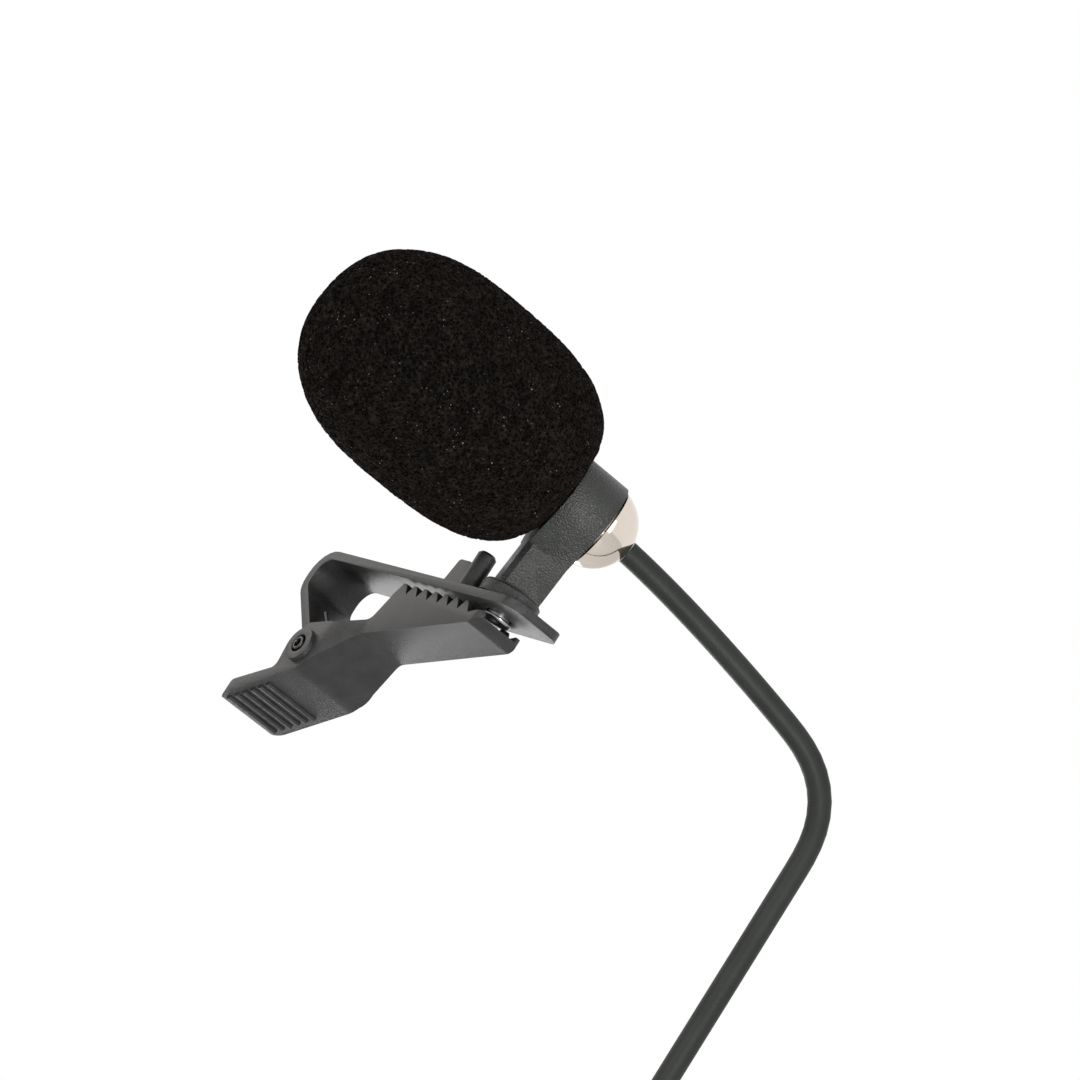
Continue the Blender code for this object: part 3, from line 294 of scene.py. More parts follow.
def turned_metal(name, colour, shine, streak):
    """Metal with fine turning lines and slight uneven gloss. The streak is the lines' size."""
    made = Finish(name, Metallic=1.0)
    lines = made.noise(streak, 2.0, 0.6)
    spots = made.noise(1.3 * MM, 3.0)
    made.colour(made.blend(made.ramp(spots, (0.3, 0), (0.7, 1)), colour, tuple(c * 0.82 for c in colour)))
    made.roughness(shine + 0.15 * (lines - 0.5) + 0.1 * (spots - 0.5))
    made.relief(lines, streak * 0.05, 0.5)
    return made.material


def cable_jacket(name, colour):
    """Soft jacket with a satin skin, faint marks of extrusion and a little dust."""
    made = Finish(name, Specular_IOR_Level=JACKET_GLOSS)
    skin = made.noise(0.22 * MM, 2.0, 0.55)
    broad = made.noise(5.0 * MM, 2.0)
    dust = made.ramp(made.noise(0.7 * MM, 4.0, 0.7), (0.62, 0), (0.8, 1))
    base = made.blend(made.ramp(broad, (0.35, 0), (0.65, 1)), colour, tuple(c * 1.3 for c in colour))
    made.colour(made.blend(dust * 0.15, base, (0.12, 0.125, 0.12)))
    made.roughness(0.5 + 0.12 * (skin - 0.5) + 0.12 * dust)
    made.relief(skin, 0.02 * MM, 0.5)
    return made.material


def soft_rubber(name, colour):
    """Matt rubber with a fine bloom."""
    made = Finish(name, Specular_IOR_Level=0.4)
    bloom = made.noise(0.9 * MM, 3.0, 0.6)
    fine = made.noise(0.12 * MM, 1.0)
    pale = tuple(c * 1.6 + 0.004 for c in colour)
    made.colour(made.blend(made.ramp(bloom, (0.4, 0), (0.75, 1)), colour, pale))
    made.roughness(0.62 + 0.2 * (fine - 0.5))
    made.relief(fine, 0.012 * MM, 0.6)
    return made.material


def woven_felt(name, colour):
    """Short fibres in a soft mat."""
    made = Finish(name, Specular_IOR_Level=0.2, Sheen_Weight=0.3)
    fibres = made.noise(0.16 * MM, 3.0, 0.7, (1, 1, 3))
    made.colour(made.blend(fibres, tuple(c * 0.5 for c in colour), tuple(c * 2 for c in colour)))
    made.roughness(0.95 - 0.1 * fibres)
    made.relief(fibres, 0.06 * MM)
    return made.material


def circuit_board(name, colour):
    """Solder mask over faint tracks."""
    made = Finish(name, Coat_Weight=0.3, Coat_Roughness=0.2)
    tracks = made.ramp(made.cells(0.9 * MM, "DISTANCE_TO_EDGE"), (0.06, 1), (0.12, 0))
    made.colour(made.blend(tracks, colour, tuple(c * 1.8 + 0.02 for c in colour)))
    made.roughness(0.45 - 0.15 * tracks)
    made.relief(tracks, 0.03 * MM)
    return made.material


# ---------------------------------------------------------------- surfaces

def surface(name, points, close_along=False):
    """Mesh of a grid of points: rows run along a profile and columns go once round.

    Every four neighbours make a face, the last column joins the first, and rows whose points fall together
    close to one pole. The faces are turned outwards by the sign of the volume that they enclose.
    """
    rows, columns = points.shape[:2]
    index = np.arange(rows * columns).reshape(rows, columns)
    if close_along:
        index = np.vstack((index, index[:1]))
    near, far = index[:-1], index[1:]
    quads = np.stack((near, np.roll(near, -1, 1), np.roll(far, -1, 1), far), -1).reshape(-1, 4)
    flat = points.reshape(-1, 3)
    a, b, c, d = (flat[quads[:, k]] for k in range(4))
    volume = np.einsum("ij,ij->", a, np.cross(b, c)) + np.einsum("ij,ij->", a, np.cross(c, d))
    if volume < 0:
        quads = quads[:, ::-1]
    mesh = bpy.data.meshes.new(name)
    mesh.vertices.add(len(flat))
    mesh.vertices.foreach_set("co", flat.astype(np.float32).ravel())
    mesh.loops.add(quads.size)
    mesh.loops.foreach_set("vertex_index", quads.astype(np.int32).ravel())
    mesh.polygons.add(len(quads))
    mesh.polygons.foreach_set("loop_start", np.arange(0, quads.size, 4, dtype=np.int32))
    mesh.update(calc_edges=True)
    weld(mesh)
    return mesh


def weld(mesh, distance=1e-7):
    """Merges points that fall together, and drops faces that this leaves with no area."""
    work = bmesh.new()
    work.from_mesh(mesh)
    bmesh.ops.remove_doubles(work, verts=work.verts, dist=distance)
    bmesh.ops.dissolve_degenerate(work, edges=work.edges, dist=distance)
    work.to_mesh(mesh)
    work.free()


def round_corners(corners, close=False, step=math.radians(9)):
    """Outline through (x, y, radius) corners: each radius becomes an arc that touches both sides."""
    outline = []
    count = len(corners)
    for i, (x, y, radius) in enumerate(corners):
        here = np.array((x, y), float)
        end = not close and i in (0, count - 1)
        if radius <= 0 or end:
            outline.append(here)
            continue
        back = np.array(corners[i - 1][:2]) - here
        ahead = np.array(corners[(i + 1) % count][:2]) - here
        back /= np.linalg.norm(back)
        ahead /= np.linalg.norm(ahead)
        half = math.acos(float(np.clip(back @ ahead, -1, 1))) / 2
        middle = here + (back + ahead) / np.linalg.norm(back + ahead) * radius / math.sin(half)
        spoke = here + back * (radius / math.tan(half)) - middle
        turn = math.pi - 2 * half
        if back[0] * ahead[1] - back[1] * ahead[0] > 0:
            turn = -turn
        steps = max(2, math.ceil(abs(turn) / step))
        for k in range(steps + 1):
            angle = turn * k / steps
            cos, sin = math.cos(angle), math.sin(angle)
            turned = (cos * spoke[0] - sin * spoke[1], sin * spoke[0] + cos * spoke[1])
            outline.append(middle + np.array(turned))
    return np.array(outline)


def revolve(name, profile, place, steps=96, close=False):
    """Surface of revolution: a point (r, h) of the profile goes to centre + r (cos a X + sin a Y) + h Z."""
    centre, x_axis, y_axis, z_axis = place
    angle = np.linspace(0, 2 * math.pi, steps, endpoint=False)
    spoke = np.cos(angle)[:, None] * x_axis + np.sin(angle)[:, None] * y_axis
    points = centre + profile[:, 0, None, None] * spoke + profile[:, 1, None, None] * z_axis
    return surface(name, points, close)


def carried_frames(path):
    """Two directions square to a path at each of its points, carried along it with the least twist."""
    tangent = np.gradient(path, axis=0)
    tangent /= np.linalg.norm(tangent, axis=1)[:, None]
    side = np.cross(tangent[0], UP if abs(tangent[0][2]) < 0.9 else ACROSS)
    sides = []
    for direction in tangent:
        side = side - direction * (side @ direction)
        side = side / np.linalg.norm(side)
        sides.append(side)
    sides = np.array(sides)
    return sides, np.cross(tangent, sides)


def sweep(name, path, radius, sides=20):
    """Round tube: a circle of the radius stands square to the path at each point, and the ends close."""
    first, second = carried_frames(path)
    angle = np.linspace(0, 2 * math.pi, sides, endpoint=False)
    spoke = np.cos(angle)[None, :, None] * first[:, None] + np.sin(angle)[None, :, None] * second[:, None]
    points = path[:, None] + radius * spoke
    start = np.repeat(path[:1, None], sides, axis=1)
    finish = np.repeat(path[-1:, None], sides, axis=1)
    return surface(name, np.concatenate((start, points, finish)))


def even(path, step):
    """A path or a flat outline, read again at even distances along it."""
    run = np.concatenate(([0], np.cumsum(np.linalg.norm(np.diff(path, axis=0), axis=1))))
    spots = np.linspace(0, run[-1], max(3, round(run[-1] / step) + 1))
    return np.stack([np.interp(spots, run, path[:, k]) for k in range(path.shape[1])], axis=1)


def scatter(cell, seed):
    """Three even numbers from 0 to 1 for each whole-number cell, the same each run."""
    mixed = cell @ SCATTER_AXES + seed * SCATTER_SEED
    waves = [np.abs(np.sin(mixed + k * SCATTER_SHIFT)) * SCATTER_SCALE for k in range(3)]
    return np.stack([np.modf(wave)[0] for wave in waves], axis=-1)


def cell_distance(points, size, seed):
    """Cellular noise: a scattered point in each cube of a size, and the way to the nearest, in sizes."""
    spot = points / size
    cell = np.floor(spot)
    nearest = np.full(len(points), 9.0)
    for shift in np.ndindex(3, 3, 3):
        other = cell + np.array(shift) - 1
        gap = other + scatter(other, seed) - spot
        nearest = np.minimum(nearest, np.einsum("ij,ij->i", gap, gap))
    return np.sqrt(nearest)


def smooth_step(share):
    """Rises from 0 to 1 and is level at both ends."""
    share = np.clip(share, 0, 1)
    return share * share * (3 - 2 * share)


# ---------------------------------------------------------------- pieces

def piece(mesh, body, material, replaced=(), sharp=math.radians(32)):
    """Object of a finished mesh that rides on a body and stands for its solids."""
    obj = bpy.data.objects.new(mesh.name, mesh)
    bpy.context.scene.collection.objects.link(obj)
    mesh.materials.append(material)
    mesh.shade_smooth()
    if sharp:
        mesh.set_sharp_from_angle(angle=sharp)
    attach(obj, body)
    if replaced:
        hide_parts(*replaced)
    return obj


def dressed(node, name, body, material, edge):
    """The solid's own shape with its facets merged and its edges rounded as far as the clamp lets them."""
    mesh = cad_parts[node].data.copy()
    mesh.name = name
    mesh.materials.clear()
    work = bmesh.new()
    work.from_mesh(mesh)
    bmesh.ops.remove_doubles(work, verts=work.verts, dist=MERGE_DISTANCE)
    bmesh.ops.dissolve_limit(work, angle_limit=MERGE_ANGLE, verts=work.verts, edges=work.edges)
    work.to_mesh(mesh)
    work.free()
    obj = piece(mesh, body, material, (node,), 0)
    bevel = obj.modifiers.new("Edges", "BEVEL")
    bevel.width = edge
    bevel.segments = 3
    bevel.limit_method = "ANGLE"
    bevel.angle_limit = EDGE_ANGLE
    bevel.harden_normals = True
    bevel.use_clamp_overlap = True
    return obj


def free_bend():
    """Cable from the dome: the slope starts at the lean, grows with the root of the run, and bends down."""
    length = SAG_LENGTH + BEND_LENGTH
    steps = 160
    run = (np.arange(steps) + 0.5) * length / steps
    slope = LEAN + CABLE_SAG * np.sqrt(run / length)
    slope += (math.pi / 2 - CABLE_SAG - LEAN) * smooth_step((run - SAG_LENGTH) / BEND_LENGTH)
    moves = (np.cos(slope)[:, None] * AWAY - np.sin(slope)[:, None] * UP) * length / steps
    start = RING_CENTRE + NOSE * CABLE_START
    return np.vstack((start, start + np.cumsum(moves, axis=0)))


def level_bend(along):
    """Smooth bend from hanging to level."""
    steps = 60
    slope = math.pi / 2 * (1 - smooth_step((np.arange(steps) + 0.5) / steps))
    moves = (np.cos(slope)[:, None] * along - np.sin(slope)[:, None] * UP) * ENTRY_BEND / steps
    return np.cumsum(moves, axis=0)


def turn_level(direction, angle):
    """A level direction turned about the upright."""
    cos, sin = math.cos(angle), math.sin(angle)
    return np.array((cos * direction[0] - sin * direction[1], sin * direction[0] + cos * direction[1], 0))


def coil_turns(entry, along):
    """Spiral in and out by layers: the radius falls and rises evenly, and the height steps down in each
    half turn where it reverses."""
    inward = np.cross(UP, along)
    middle = entry + inward * (COIL_RADIUS + COIL_PITCH * COIL_TURNS / 2)
    turns = np.arange(COIL_LAYERS * COIL_TURNS * TURN_STEPS + 1) / TURN_STEPS
    layer = np.minimum(turns // COIL_TURNS, COIL_LAYERS - 1)
    share = turns / COIL_TURNS - layer
    share = np.where(layer % 2 == 0, share, 1 - share)
    radius = COIL_RADIUS + COIL_PITCH * COIL_TURNS * (0.5 - share)
    changes = np.arange(1, COIL_LAYERS) * COIL_TURNS
    climb = smooth_step((turns[:, None] - changes) * 2 + 0.5).sum(axis=1)
    angle = math.atan2(-inward[1], -inward[0]) + 2 * math.pi * turns
    spoke = np.stack((np.cos(angle), np.sin(angle), np.zeros_like(angle)), axis=1)
    return middle + spoke * radius[:, None] - UP * (COIL_PITCH * climb)[:, None]


def tail_path(start, along):
    """Short rise from the coil to the height of the plug's axis."""
    straight = CABLE_RADIUS * 2
    rise = SURFACE + SHELL_RADIUS - start[2]
    share = np.linspace(0, 1, 24)
    reach = straight + (TAIL_LENGTH - 2 * straight) * share
    middle = start + reach[:, None] * along + (rise * smooth_step(share))[:, None] * UP
    return np.vstack((start, middle, start + along * TAIL_LENGTH + UP * rise))


def cable_path():
    """The whole cable: free bend, hanging run, level bend, coil and tail. It comes with the way it ends."""
    first = free_bend()
    along = turn_level(AWAY, ENTRY_TURN)
    bend = level_bend(along)
    level = SURFACE + TIE_THICK + SEAT + CABLE_RADIUS + COIL_PITCH * (COIL_LAYERS - 1)
    hang = np.array((first[-1][0], first[-1][1], level - bend[-1][2]))
    turned = hang + bend
    entry = turned[-1] + along * (CABLE_RADIUS * 4 + SEAT)
    coil = coil_turns(entry, along)
    end = coil[-1] + along * (CABLE_RADIUS * 2)
    tail = tail_path(end + along * SEAT, along)
    free = even(np.vstack((first, hang, turned, entry)), PATH_STEP)
    return np.vstack((free[:-1], coil, even(tail, PATH_STEP))), along


def foam_outline(rows):
    """Two superellipse quarters that meet at the widest place: r = R (1 - u^p)^(1/p), u along the axis."""
    nose_power, rear_power = 2.3, 3.1
    widest = FOAM_TIP - FOAM_NOSE
    angle = np.linspace(0, math.pi / 2, rows)
    front = np.stack((FOAM_RADIUS * np.sin(angle) ** (2 / nose_power),
                      widest + FOAM_NOSE * np.cos(angle) ** (2 / nose_power)), axis=1)
    last = math.asin((FOAM_MOUTH / FOAM_RADIUS) ** (rear_power / 2))
    stretch = (FOAM_LENGTH - FOAM_NOSE) / math.cos(last) ** (2 / rear_power)
    angle = np.linspace(0, math.pi / 2 - last, rows)
    rear = np.stack((FOAM_RADIUS * np.cos(angle) ** (2 / rear_power),
                     widest - stretch * np.sin(angle) ** (2 / rear_power)), axis=1)
    return np.vstack((front, rear[1:]))


def foam_mesh(name, relief, cell):
    """The foam's outline turned about its axis. Each point then sinks along its normal by cellular noise,
    which leaves pits a cell wide, and by slow lumps. The bore is turned round the barrel's axis."""
    outer = even(foam_outline(400), FOAM_STEP)
    bore = np.array(((4.75, 2.72), (4.35, 2.95), (4.3, 3.6), (4.3, 15.0), (0.0, 15.0))) * MM
    centre, x_axis, y_axis, z_axis = MICROPHONE_PLACE
    angle = np.linspace(0, 2 * math.pi, FOAM_COLUMNS, endpoint=False)
    spoke = np.cos(angle)[:, None] * x_axis + np.sin(angle)[:, None] * y_axis
    rise = FOAM_RISE * y_axis
    body = centre + rise + outer[:, 0, None, None] * spoke + outer[:, 1, None, None] * z_axis
    along = np.gradient(body, axis=0)
    around = np.roll(body, -1, 1) - np.roll(body, 1, 1)
    normal = np.cross(around, along)
    length = np.linalg.norm(normal, axis=2, keepdims=True)
    normal = np.where(length > 1e-14, normal / np.maximum(length, 1e-14), z_axis)
    middle = centre + rise + outer[:, 1].mean() * z_axis
    if np.einsum("ijk,ijk->", normal, body - middle) < 0:
        normal = -normal
    normal[0] = z_axis
    flat = body.reshape(-1, 3)
    pits = 1 - smooth_step(cell_distance(flat, cell, 3) / 0.62)
    fine = 1 - smooth_step(cell_distance(flat, cell * 0.55, 8) / 0.6)
    lumps = cell_distance(flat, LUMP_SIZE, 5) - 0.5
    depth = (relief * (pits + 0.45 * fine) - LUMP_DEPTH * lumps).reshape(body.shape[:2])
    depth -= depth.mean() * 0.6
    depth[0] = depth[0].mean()
    body = body - normal * depth[..., None]
    inside = centre + bore[:, 0, None, None] * spoke + bore[:, 1, None, None] * z_axis
    return surface(name, np.concatenate((body, inside)))


# ---------------------------------------------------------------- sizes and colours that a user sets

class MicrophoneSettings(bpy.types.PropertyGroup):
    """Sizes and colours of the visible finishes."""

    foam_colour: bpy.props.FloatVectorProperty(
        name="Foam colour", description="Colour of the windscreen's struts", subtype="COLOR",
        size=3, min=0, max=1, default=(0.006, 0.00525, 0.0049))
    foam_cell: bpy.props.FloatProperty(
        name="Foam cell", description="Width of the foam's pits", subtype="DISTANCE", unit="LENGTH",
        min=0.0002, max=0.003, default=0.00062)
    foam_relief: bpy.props.FloatProperty(
        name="Foam relief", description="Depth of the foam's pits", subtype="DISTANCE", unit="LENGTH",
        min=0, max=0.001, default=0.00044)
    clip_colour: bpy.props.FloatVectorProperty(
        name="Clip colour", description="Colour of the two levers", subtype="COLOR",
        size=3, min=0, max=1, default=(0.024, 0.0243, 0.0243))
    holder_colour: bpy.props.FloatVectorProperty(
        name="Holder colour", description="Colour of the ring holder", subtype="COLOR",
        size=3, min=0, max=1, default=(0.029, 0.0312, 0.0285))
    plastic_grain: bpy.props.FloatProperty(
        name="Plastic grain", description="Width of the mould's fine grain",
        subtype="DISTANCE", unit="LENGTH", min=0.00005, max=0.001, default=0.00017)
    edge_radius: bpy.props.FloatProperty(
        name="Edge radius", description="Rounding of the moulded edges", subtype="DISTANCE", unit="LENGTH",
        min=0, max=0.0005, default=0.00018)
    metal_colour: bpy.props.FloatVectorProperty(
        name="Dome colour", description="Colour of the polished rear dome", subtype="COLOR",
        size=3, min=0, max=1, default=(0.76, 0.68, 0.6))
    cable_colour: bpy.props.FloatVectorProperty(
        name="Cable colour", description="Colour of the cable's jacket", subtype="COLOR",
        size=3, min=0, max=1, default=(0.0213, 0.0238, 0.0213))
    light_level: bpy.props.FloatProperty(
        name="Light level", description="Strength of the studio lamps", min=0, max=4, default=1.0)


def settings():
    return bpy.context.scene.microphone


def finish_named(name, make, *values):
    """The material of that name, made the first time it is asked for."""
    return bpy.data.materials.get(name) or make(name, *values)


def clip_finish():
    chosen = settings()
    return finish_named("clip_plastic_finish", moulded_plastic, tuple(chosen.clip_colour),
                        chosen.plastic_grain, 0.18, 0.42)


def holder_finish():
    chosen = settings()
    return finish_named("holder_plastic_finish", moulded_plastic, tuple(chosen.holder_colour),
                        chosen.plastic_grain * 1.3, 0.34, 0.38)


def steel_finish():
    return finish_named("steel_finish", turned_metal, (0.55, 0.55, 0.55), 0.3, 0.1 * MM)


def dark_steel_finish():
    return finish_named("dark_steel_finish", turned_metal, (0.1, 0.1, 0.1), 0.36, 0.1 * MM)


def brass_finish():
    return finish_named("plated_brass_finish", turned_metal, (0.83, 0.68, 0.42), 0.22, 0.08 * MM)


def rubber_finish():
    return finish_named("black_rubber_finish", soft_rubber, (0.02, 0.02, 0.021))


def black_metal_finish():
    return finish_named("black_coating_finish", soft_rubber, (0.024, 0.024, 0.025))


# ---------------------------------------------------------------- operators

class MicrophoneStage(bpy.types.Operator):
    """Floor, soft lamps, white surroundings and the camera"""

    bl_idname = "microphone.stage"
    bl_label = "Studio and Camera"

    def execute(self, context):
        make_camera(context.scene)
        make_floor()
        make_world(context.scene)
        make_lamps()
        context.scene.view_settings.view_transform = "Standard"
        return {"FINISHED"}


def camera_axes():
    """Right, up and back of a camera that looks from an azimuth and elevation, rolled about its view."""
    az, el, roll = CAMERA_AZIMUTH, CAMERA_ELEVATION, CAMERA_ROLL
    back = np.array((math.sin(az) * math.cos(el), -math.cos(az) * math.cos(el), math.sin(el)))
    level = np.array((math.cos(az), math.sin(az), 0))
    upright = np.cross(back, level)
    right = level * math.cos(roll) + upright * math.sin(roll)
    return right, np.cross(back, right), back


def placed(columns, spot):
    """Matrix of an object whose axes are the columns."""
    return Matrix([(*row, at) for row, at in zip(columns, spot)] + [(0, 0, 0, 1)])


def make_camera(scene):
    right, up, back = camera_axes()
    target = CAMERA_TARGET + right * TARGET_RIGHT + up * TARGET_UP + back * TARGET_TOWARD
    data = bpy.data.cameras.new("camera")
    data.sensor_width = SENSOR
    data.lens = SENSOR * CAMERA_DISTANCE / FRAME_WIDTH
    data.clip_start = 0.01
    data.clip_end = 20
    obj = bpy.data.objects.new("camera", data)
    obj.matrix_world = placed(np.stack((right, up, back), axis=1), target + back * CAMERA_DISTANCE)
    scene.collection.objects.link(obj)
    scene.camera = obj


def looked_at(nodes, links):
    """One for the rays of the camera, of mirrors and of glass, and zero for those that light the object."""
    rays = nodes.new("ShaderNodeLightPath")
    share = rays.outputs["Is Camera Ray"]
    for kind in ("Is Transmission Ray", "Is Glossy Ray"):
        larger = nodes.new("ShaderNodeMath")
        larger.operation = "MAXIMUM"
        links.new(share, larger.inputs[0])
        links.new(rays.outputs[kind], larger.inputs[1])
        share = larger.outputs[0]
    return share


def mix_shaders(nodes, links, share, first, second, target):
    """Leads two shaders to a target, the second by a share."""
    mix = nodes.new("ShaderNodeMixShader")
    for place, source in enumerate((share, first, second)):
        links.new(source, mix.inputs[place])
    links.new(mix.outputs[0], target)


def make_floor():
    """Round floor at the height where the spare cable lies, part white to the camera but not as a light."""
    rings = np.array(((0, 0), (0.2, 0), (0.6, 0), (3.0, 0)))
    place = (np.array((0, 0, SURFACE)), np.array((1.0, 0, 0)), np.array((0, 1.0, 0)), UP)
    mesh = revolve("floor", rings, place, 64)
    obj = bpy.data.objects.new("floor", mesh)
    bpy.context.scene.collection.objects.link(obj)
    pale = Finish("floor_finish", Base_Color=(0.93, 0.93, 0.93), Roughness=0.9, Specular_IOR_Level=0.1)
    grain = pale.noise(8 * MM, 3.0)
    pale.roughness(0.85 + 0.1 * grain)
    white = pale.nodes.new("ShaderNodeEmission")
    part = pale.nodes.new("ShaderNodeMath")
    part.operation = "MULTIPLY"
    part.inputs[1].default_value = FLOOR_WHITE
    pale.links.new(looked_at(pale.nodes, pale.links), part.inputs[0])
    mix_shaders(pale.nodes, pale.links, part.outputs[0], pale.shader.outputs[0], white.outputs[0],
                pale.nodes["Material Output"].inputs["Surface"])
    mesh.materials.append(pale.material)


def make_world(scene):
    """White where the camera or a mirror looks, and a plain level of light everywhere else."""
    world = bpy.data.worlds.new("surroundings")
    world.use_nodes = True
    nodes, links = world.node_tree.nodes, world.node_tree.links
    plain = nodes["Background"]
    plain.inputs["Color"].default_value = (0.97, 0.985, 1.0, 1)
    plain.inputs["Strength"].default_value = WORLD_LEVEL * settings().light_level
    white = nodes.new("ShaderNodeBackground")
    white.inputs["Color"].default_value = (1, 1, 1, 1)
    mix_shaders(nodes, links, looked_at(nodes, links), plain.outputs[0], white.outputs[0],
                nodes["World Output"].inputs["Surface"])
    scene.world = world


def lamp(name, direction, distance, size, power, colour):
    """Square soft lamp that looks at the clip from a direction given in right, up and back of the camera."""
    right, up, back = camera_axes()
    way = right * direction[0] + up * direction[1] + back * direction[2]
    way = way / np.linalg.norm(way)
    side = np.cross(UP, way)
    side = side / np.linalg.norm(side)
    data = bpy.data.lights.new(name, "AREA")
    data.size = size
    data.energy = power * settings().light_level
    data.color = colour
    obj = bpy.data.objects.new(name, data)
    spot = CAMERA_TARGET + right * TARGET_RIGHT + up * TARGET_UP + way * distance
    obj.matrix_world = placed(np.stack((side, np.cross(way, side), way), axis=1), spot)
    bpy.context.scene.collection.objects.link(obj)


def make_lamps():
    """Five soft lamps that keep a plain level of light on the side that the camera sees."""
    lamp("key", (-0.5, 0.9, 0.75), 0.7, 0.45, 1.6, (1.0, 0.985, 0.96))
    lamp("fill", (0.62, 0.0, 0.8), 0.8, 0.5, 0.8, (0.95, 0.98, 1.0))
    lamp("rim", (-0.8, 0.75, -0.7), 0.6, 0.3, 0.38, (1.0, 0.93, 0.84))
    lamp("bounce", (-0.4, -0.52, -0.76), 0.2, 0.1, 0.1, (1.0, 1.0, 1.0))
    lamp("glint", (0.2, -0.27, 0.92), 0.25, 0.045, 0.3, (1.0, 0.99, 0.96))


class MicrophoneCable(bpy.types.Operator):
    """The cable from the dome to the plug, with its coil and tie"""

    bl_idname = "microphone.cable"
    bl_label = "Cable"

    def execute(self, context):
        path, along = cable_path()
        jacket = finish_named("cable_jacket_finish", cable_jacket, tuple(settings().cable_colour))
        mesh = sweep("cable", path, CABLE_RADIUS)
        obj = piece(mesh, "microphone", jacket, ("cable_run", "cable_coil", "cable_tail"))
        tie = dressed("coil_tie", "tie", "microphone", rubber_finish(), 0.15 * MM)
        plug = make_plug(path[-1], along)
        return {"FINISHED"}


def make_plug(end, along):
    """Boot with ribs, turned shell with a grip, and the plug's contacts and insulators."""
    side = np.cross(UP, along)
    place = (end - along * (CABLE_RADIUS * 4), side, np.cross(along, side), along)
    rubber = rubber_finish()
    metal = finish_named("plug_shell_finish", turned_metal, (0.66, 0.66, 0.67), 0.26, 0.09 * MM)
    contact = brass_finish()
    insulator = finish_named("insulator_finish", soft_rubber, (0.02, 0.02, 0.02))
    made = []

    def turned(name, corners, material, slot, replaced, close=True):
        outline = round_corners([(r * MM, h * MM, c * MM) for r, h, c in corners], close)
        mesh = revolve(name, outline, place, 64, close)
        made.append(piece(mesh, "microphone", material, (replaced,)))

    ribs = []
    for k in range(5):
        low = 0.9 + k * 1.05
        wide = 2.12 + k * 0.1
        ribs += [(wide, low + 0.75, 0.12), (wide, low + 0.1, 0.12)]
        ribs += [(wide - 0.28, low, 0.05), (wide - 0.28, low - 0.25, 0.05)]
    ribs = sorted(ribs, key=lambda corner: -corner[1])
    sleeve = [(1.8, 0.0, 0.1), (1.5, 0.0, 0.1), (1.5, 9.0, 0.1)]
    turned("boot", [(2.6, 9.0, 0.1), (2.6, 6.35, 0.1), *ribs, *sleeve], rubber, "soft_rubber", "plug_boot")
    grip = []
    for k in range(7):
        high = 18.6 - k * 1.3
        grip += [(3.9, high, 0.05), (3.74, high - 0.22, 0.05)]
        grip += [(3.74, high - 0.5, 0.05), (3.9, high - 0.72, 0.05)]
    head = [(0.52, 21.3, 0.05), (3.0, 21.3, 0.3), (3.9, 20.6, 0.4)]
    skirt = [(3.9, 6.9, 0.3), (3.4, 6.3, 0.2), (2.9, 6.3, 0.1), (2.9, 18.9, 0.1), (0.52, 18.9, 0.1)]
    turned("shell", [*head, *grip, *skirt], metal, "aluminium", "plug_shell")
    level = 21.6
    for name, length, material, slot, node in (
        ("sleeve_contact", 6.0, contact, "brass", "plug_sleeve"),
        ("insulator_1", 0.7, insulator, "insulator", "plug_band_1"),
        ("ring_contact", 1.9, contact, "brass", "plug_ring_contact"),
        ("insulator_2", 0.7, insulator, "insulator", "plug_band_2"),
    ):
        top = level + length
        turned(name, [(1.75, top, 0.1), (1.75, level, 0.1), (0.52, level, 0), (0.52, top, 0)],
               material, slot, node)
        level += length + 0.12
    tip = [(0, level + 4.2, 0), (0.62, level + 4.2, 0.35), (1.5, level + 3.0, 0.5), (1.08, level + 1.75, 0.7),
           (1.75, level + 1.2, 0.25), (1.75, level, 0.1), (0.4, level, 0), (0.4, 18.9, 0), (0, 18.9, 0)]
    turned("tip_contact", tip, contact, "brass", "plug_tip", False)
    return made


class MicrophoneWindscreen(bpy.types.Operator):
    """The foam windscreen"""

    bl_idname = "microphone.windscreen"
    bl_label = "Foam Windscreen"

    def execute(self, context):
        chosen = settings()
        material = finish_named("foam_finish", open_foam, tuple(chosen.foam_colour), chosen.foam_cell * 0.62)
        mesh = foam_mesh("foam_windscreen", chosen.foam_relief, chosen.foam_cell)
        obj = piece(mesh, "foam", material, ("windscreen",), 0)
        return {"FINISHED"}


class MicrophoneClip(bpy.types.Operator):
    """The clip's two levers"""

    bl_idname = "microphone.clip"
    bl_label = "Clip Levers"

    def execute(self, context):
        edge = settings().edge_radius
        dressed("upper_lever", "upper_lever_shell", "clip_upper", clip_finish(), edge)
        dressed("lower_lever", "lower_lever_shell", "clip_lower", clip_finish(), edge)
        return {"FINISHED"}


class MicrophoneHolder(bpy.types.Operator):
    """The ring holder with its hollow rivet"""

    bl_idname = "microphone.holder"
    bl_label = "Ring Holder"

    def execute(self, context):
        dressed("ring_holder", "ring_holder_shell", "microphone", holder_finish(),
                settings().edge_radius * 1.2)
        corners = [(1.25, 3.7, 0.1), (1.25, -0.3, 0), (1.6, -0.3, 0.05), (1.75, -0.48, 0.12),
                   (1.5, -0.75, 0.2), (0.85, -0.75, 0.2), (0.65, -0.4, 0.15), (0.65, 3.7, 0.05)]
        outline = round_corners([(r * MM, h * MM, c * MM) for r, h, c in corners], True)
        place = (SWIVEL_FOOT, np.array((1.0, 0, 0)), np.array((0, 1.0, 0)), UP)
        piece(revolve("hollow_rivet", outline, place, 64, True), "microphone", steel_finish(),
              ("swivel_rivet",))
        return {"FINISHED"}


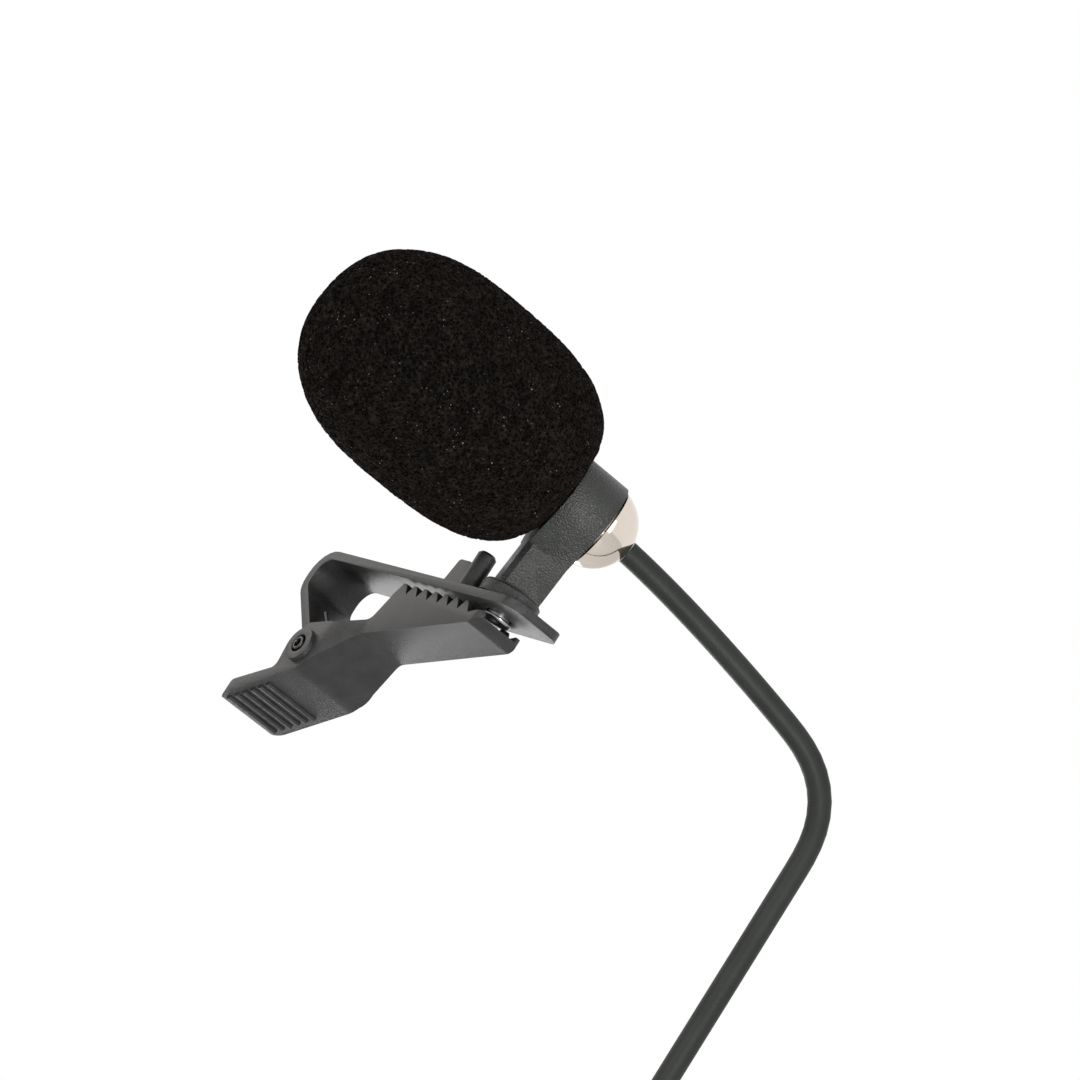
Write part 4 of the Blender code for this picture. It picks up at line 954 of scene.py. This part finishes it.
class MicrophoneDome(bpy.types.Operator):
    """The polished rear dome"""

    bl_idname = "microphone.dome"
    bl_label = "Rear Dome"

    def execute(self, context):
        radius, middle, face, hole, wall = 4.6, -2.0, -2.75, 1.55, 0.7
        start, end = math.asin((middle - face) / radius), math.acos(hole / radius)
        angle = np.linspace(start, end - 0.02, 48)
        outer = np.stack((radius * np.cos(angle), middle - radius * np.sin(angle)), axis=1)
        lip = np.array(((hole + 0.03, outer[-1][1] - 0.06), (hole, outer[-1][1] + 0.1)))
        inner_radius = radius - wall
        angle = np.linspace(math.acos(hole / inner_radius), math.acos(2.6 / inner_radius), 12)
        inner = np.stack((inner_radius * np.cos(angle), middle - inner_radius * np.sin(angle)), axis=1)
        ends = np.array(((2.6, face + 2.2), (3.3, face + 2.2), (3.3, face), (outer[0][0] - 0.08, face)))
        outline = np.vstack((outer, lip, inner, ends)) * MM
        metal = finish_named("polished_dome_finish", polished_metal, tuple(settings().metal_colour))
        piece(revolve("dome", outline, MICROPHONE_PLACE, 128, True), "microphone", metal,
              ("rear_dome",))
        return {"FINISHED"}


class MicrophonePivot(bpy.types.Operator):
    """The pivot pin and its torsion spring"""

    bl_idname = "microphone.pivot"
    bl_label = "Pivot and Spring"

    def execute(self, context):
        place = (PIVOT, np.array((1.0, 0, 0)), UP, np.array((0, -1.0, 0)))
        end = [(0, 4.45, 0), (0.42, 4.5, 0.08), (0.5, 5.1, 0.08), (0.75, 5.0, 0.1)]
        corners = end + [(r, -h, c) for r, h, c in reversed(end)]
        outline = round_corners([(r * MM, h * MM, c * MM) for r, h, c in corners])
        piece(revolve("pin", outline, place, 48), "clip_upper", dark_steel_finish(), ("pivot_pin",))
        repaint("torsion_spring", dark_steel_finish())
        return {"FINISHED"}


def repaint(node, material):
    """Gives a solid whose shape is right its finish."""
    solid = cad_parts[node]
    if not solid.material_slots:
        solid.data.materials.append(material)
    for slot in solid.material_slots:
        slot.material = material


class MicrophoneCapsule(bpy.types.Operator):
    """The barrel and what it holds"""

    bl_idname = "microphone.capsule"
    bl_label = "Barrel and Capsule"

    def execute(self, context):
        felt = finish_named("felt_finish", woven_felt, (0.03, 0.03, 0.03))
        aluminium = finish_named("capsule_can_finish", turned_metal, (0.75, 0.75, 0.76), 0.3, 0.07 * MM)
        foil = finish_named("gold_foil_finish", polished_metal, (0.86, 0.68, 0.35))
        board = finish_named("board_finish", circuit_board, (0.02, 0.12, 0.05))
        red = finish_named("red_insulation_finish", soft_rubber, (0.4, 0.02, 0.02))
        black = finish_named("black_insulation_finish", soft_rubber, (0.02, 0.02, 0.02))
        for node, material in {
            "barrel": black_metal_finish(),
            "front_grille": black_metal_finish(),
            "dust_screen": felt,
            "capsule_gasket": rubber_finish(),
            "capsule_can": aluminium,
            "diaphragm": foil,
            "back_plate": brass_finish(),
            "back_chamber": rubber_finish(),
            "capsule_board": board,
            "crimp_ferrule": brass_finish(),
            "signal_wire": red,
            "ground_wire": black,
        }.items():
            repaint(node, material)
        return {"FINISHED"}


class MicrophonePanel(bpy.types.Panel):
    """Lists the steps that build the microphone"""

    bl_idname = "VIEW3D_PT_microphone"
    bl_label = "Lavalier Microphone"
    bl_space_type = "VIEW_3D"
    bl_region_type = "UI"
    bl_category = "Microphone"

    def draw(self, context):
        chosen = context.scene.microphone
        for name in MicrophoneSettings.__annotations__:
            self.layout.prop(chosen, name)
        for operator in OPERATORS:
            self.layout.operator(operator.bl_idname)


OPERATORS = (
    MicrophoneStage,
    MicrophoneCable,
    MicrophoneWindscreen,
    MicrophoneClip,
    MicrophoneHolder,
    MicrophoneDome,
    MicrophonePivot,
    MicrophoneCapsule,
)


def register():
    for made in (MicrophoneSettings, *OPERATORS, MicrophonePanel):
        bpy.utils.register_class(made)
    bpy.types.Scene.microphone = bpy.props.PointerProperty(type=MicrophoneSettings)


def unregister():
    del bpy.types.Scene.microphone
    for made in reversed((MicrophoneSettings, *OPERATORS, MicrophonePanel)):
        bpy.utils.unregister_class(made)


def main():
    register()
    for operator in OPERATORS:
        group, name = operator.bl_idname.split(".")
        getattr(getattr(bpy.ops, group), name)()


if __name__ == "__main__":
    main()
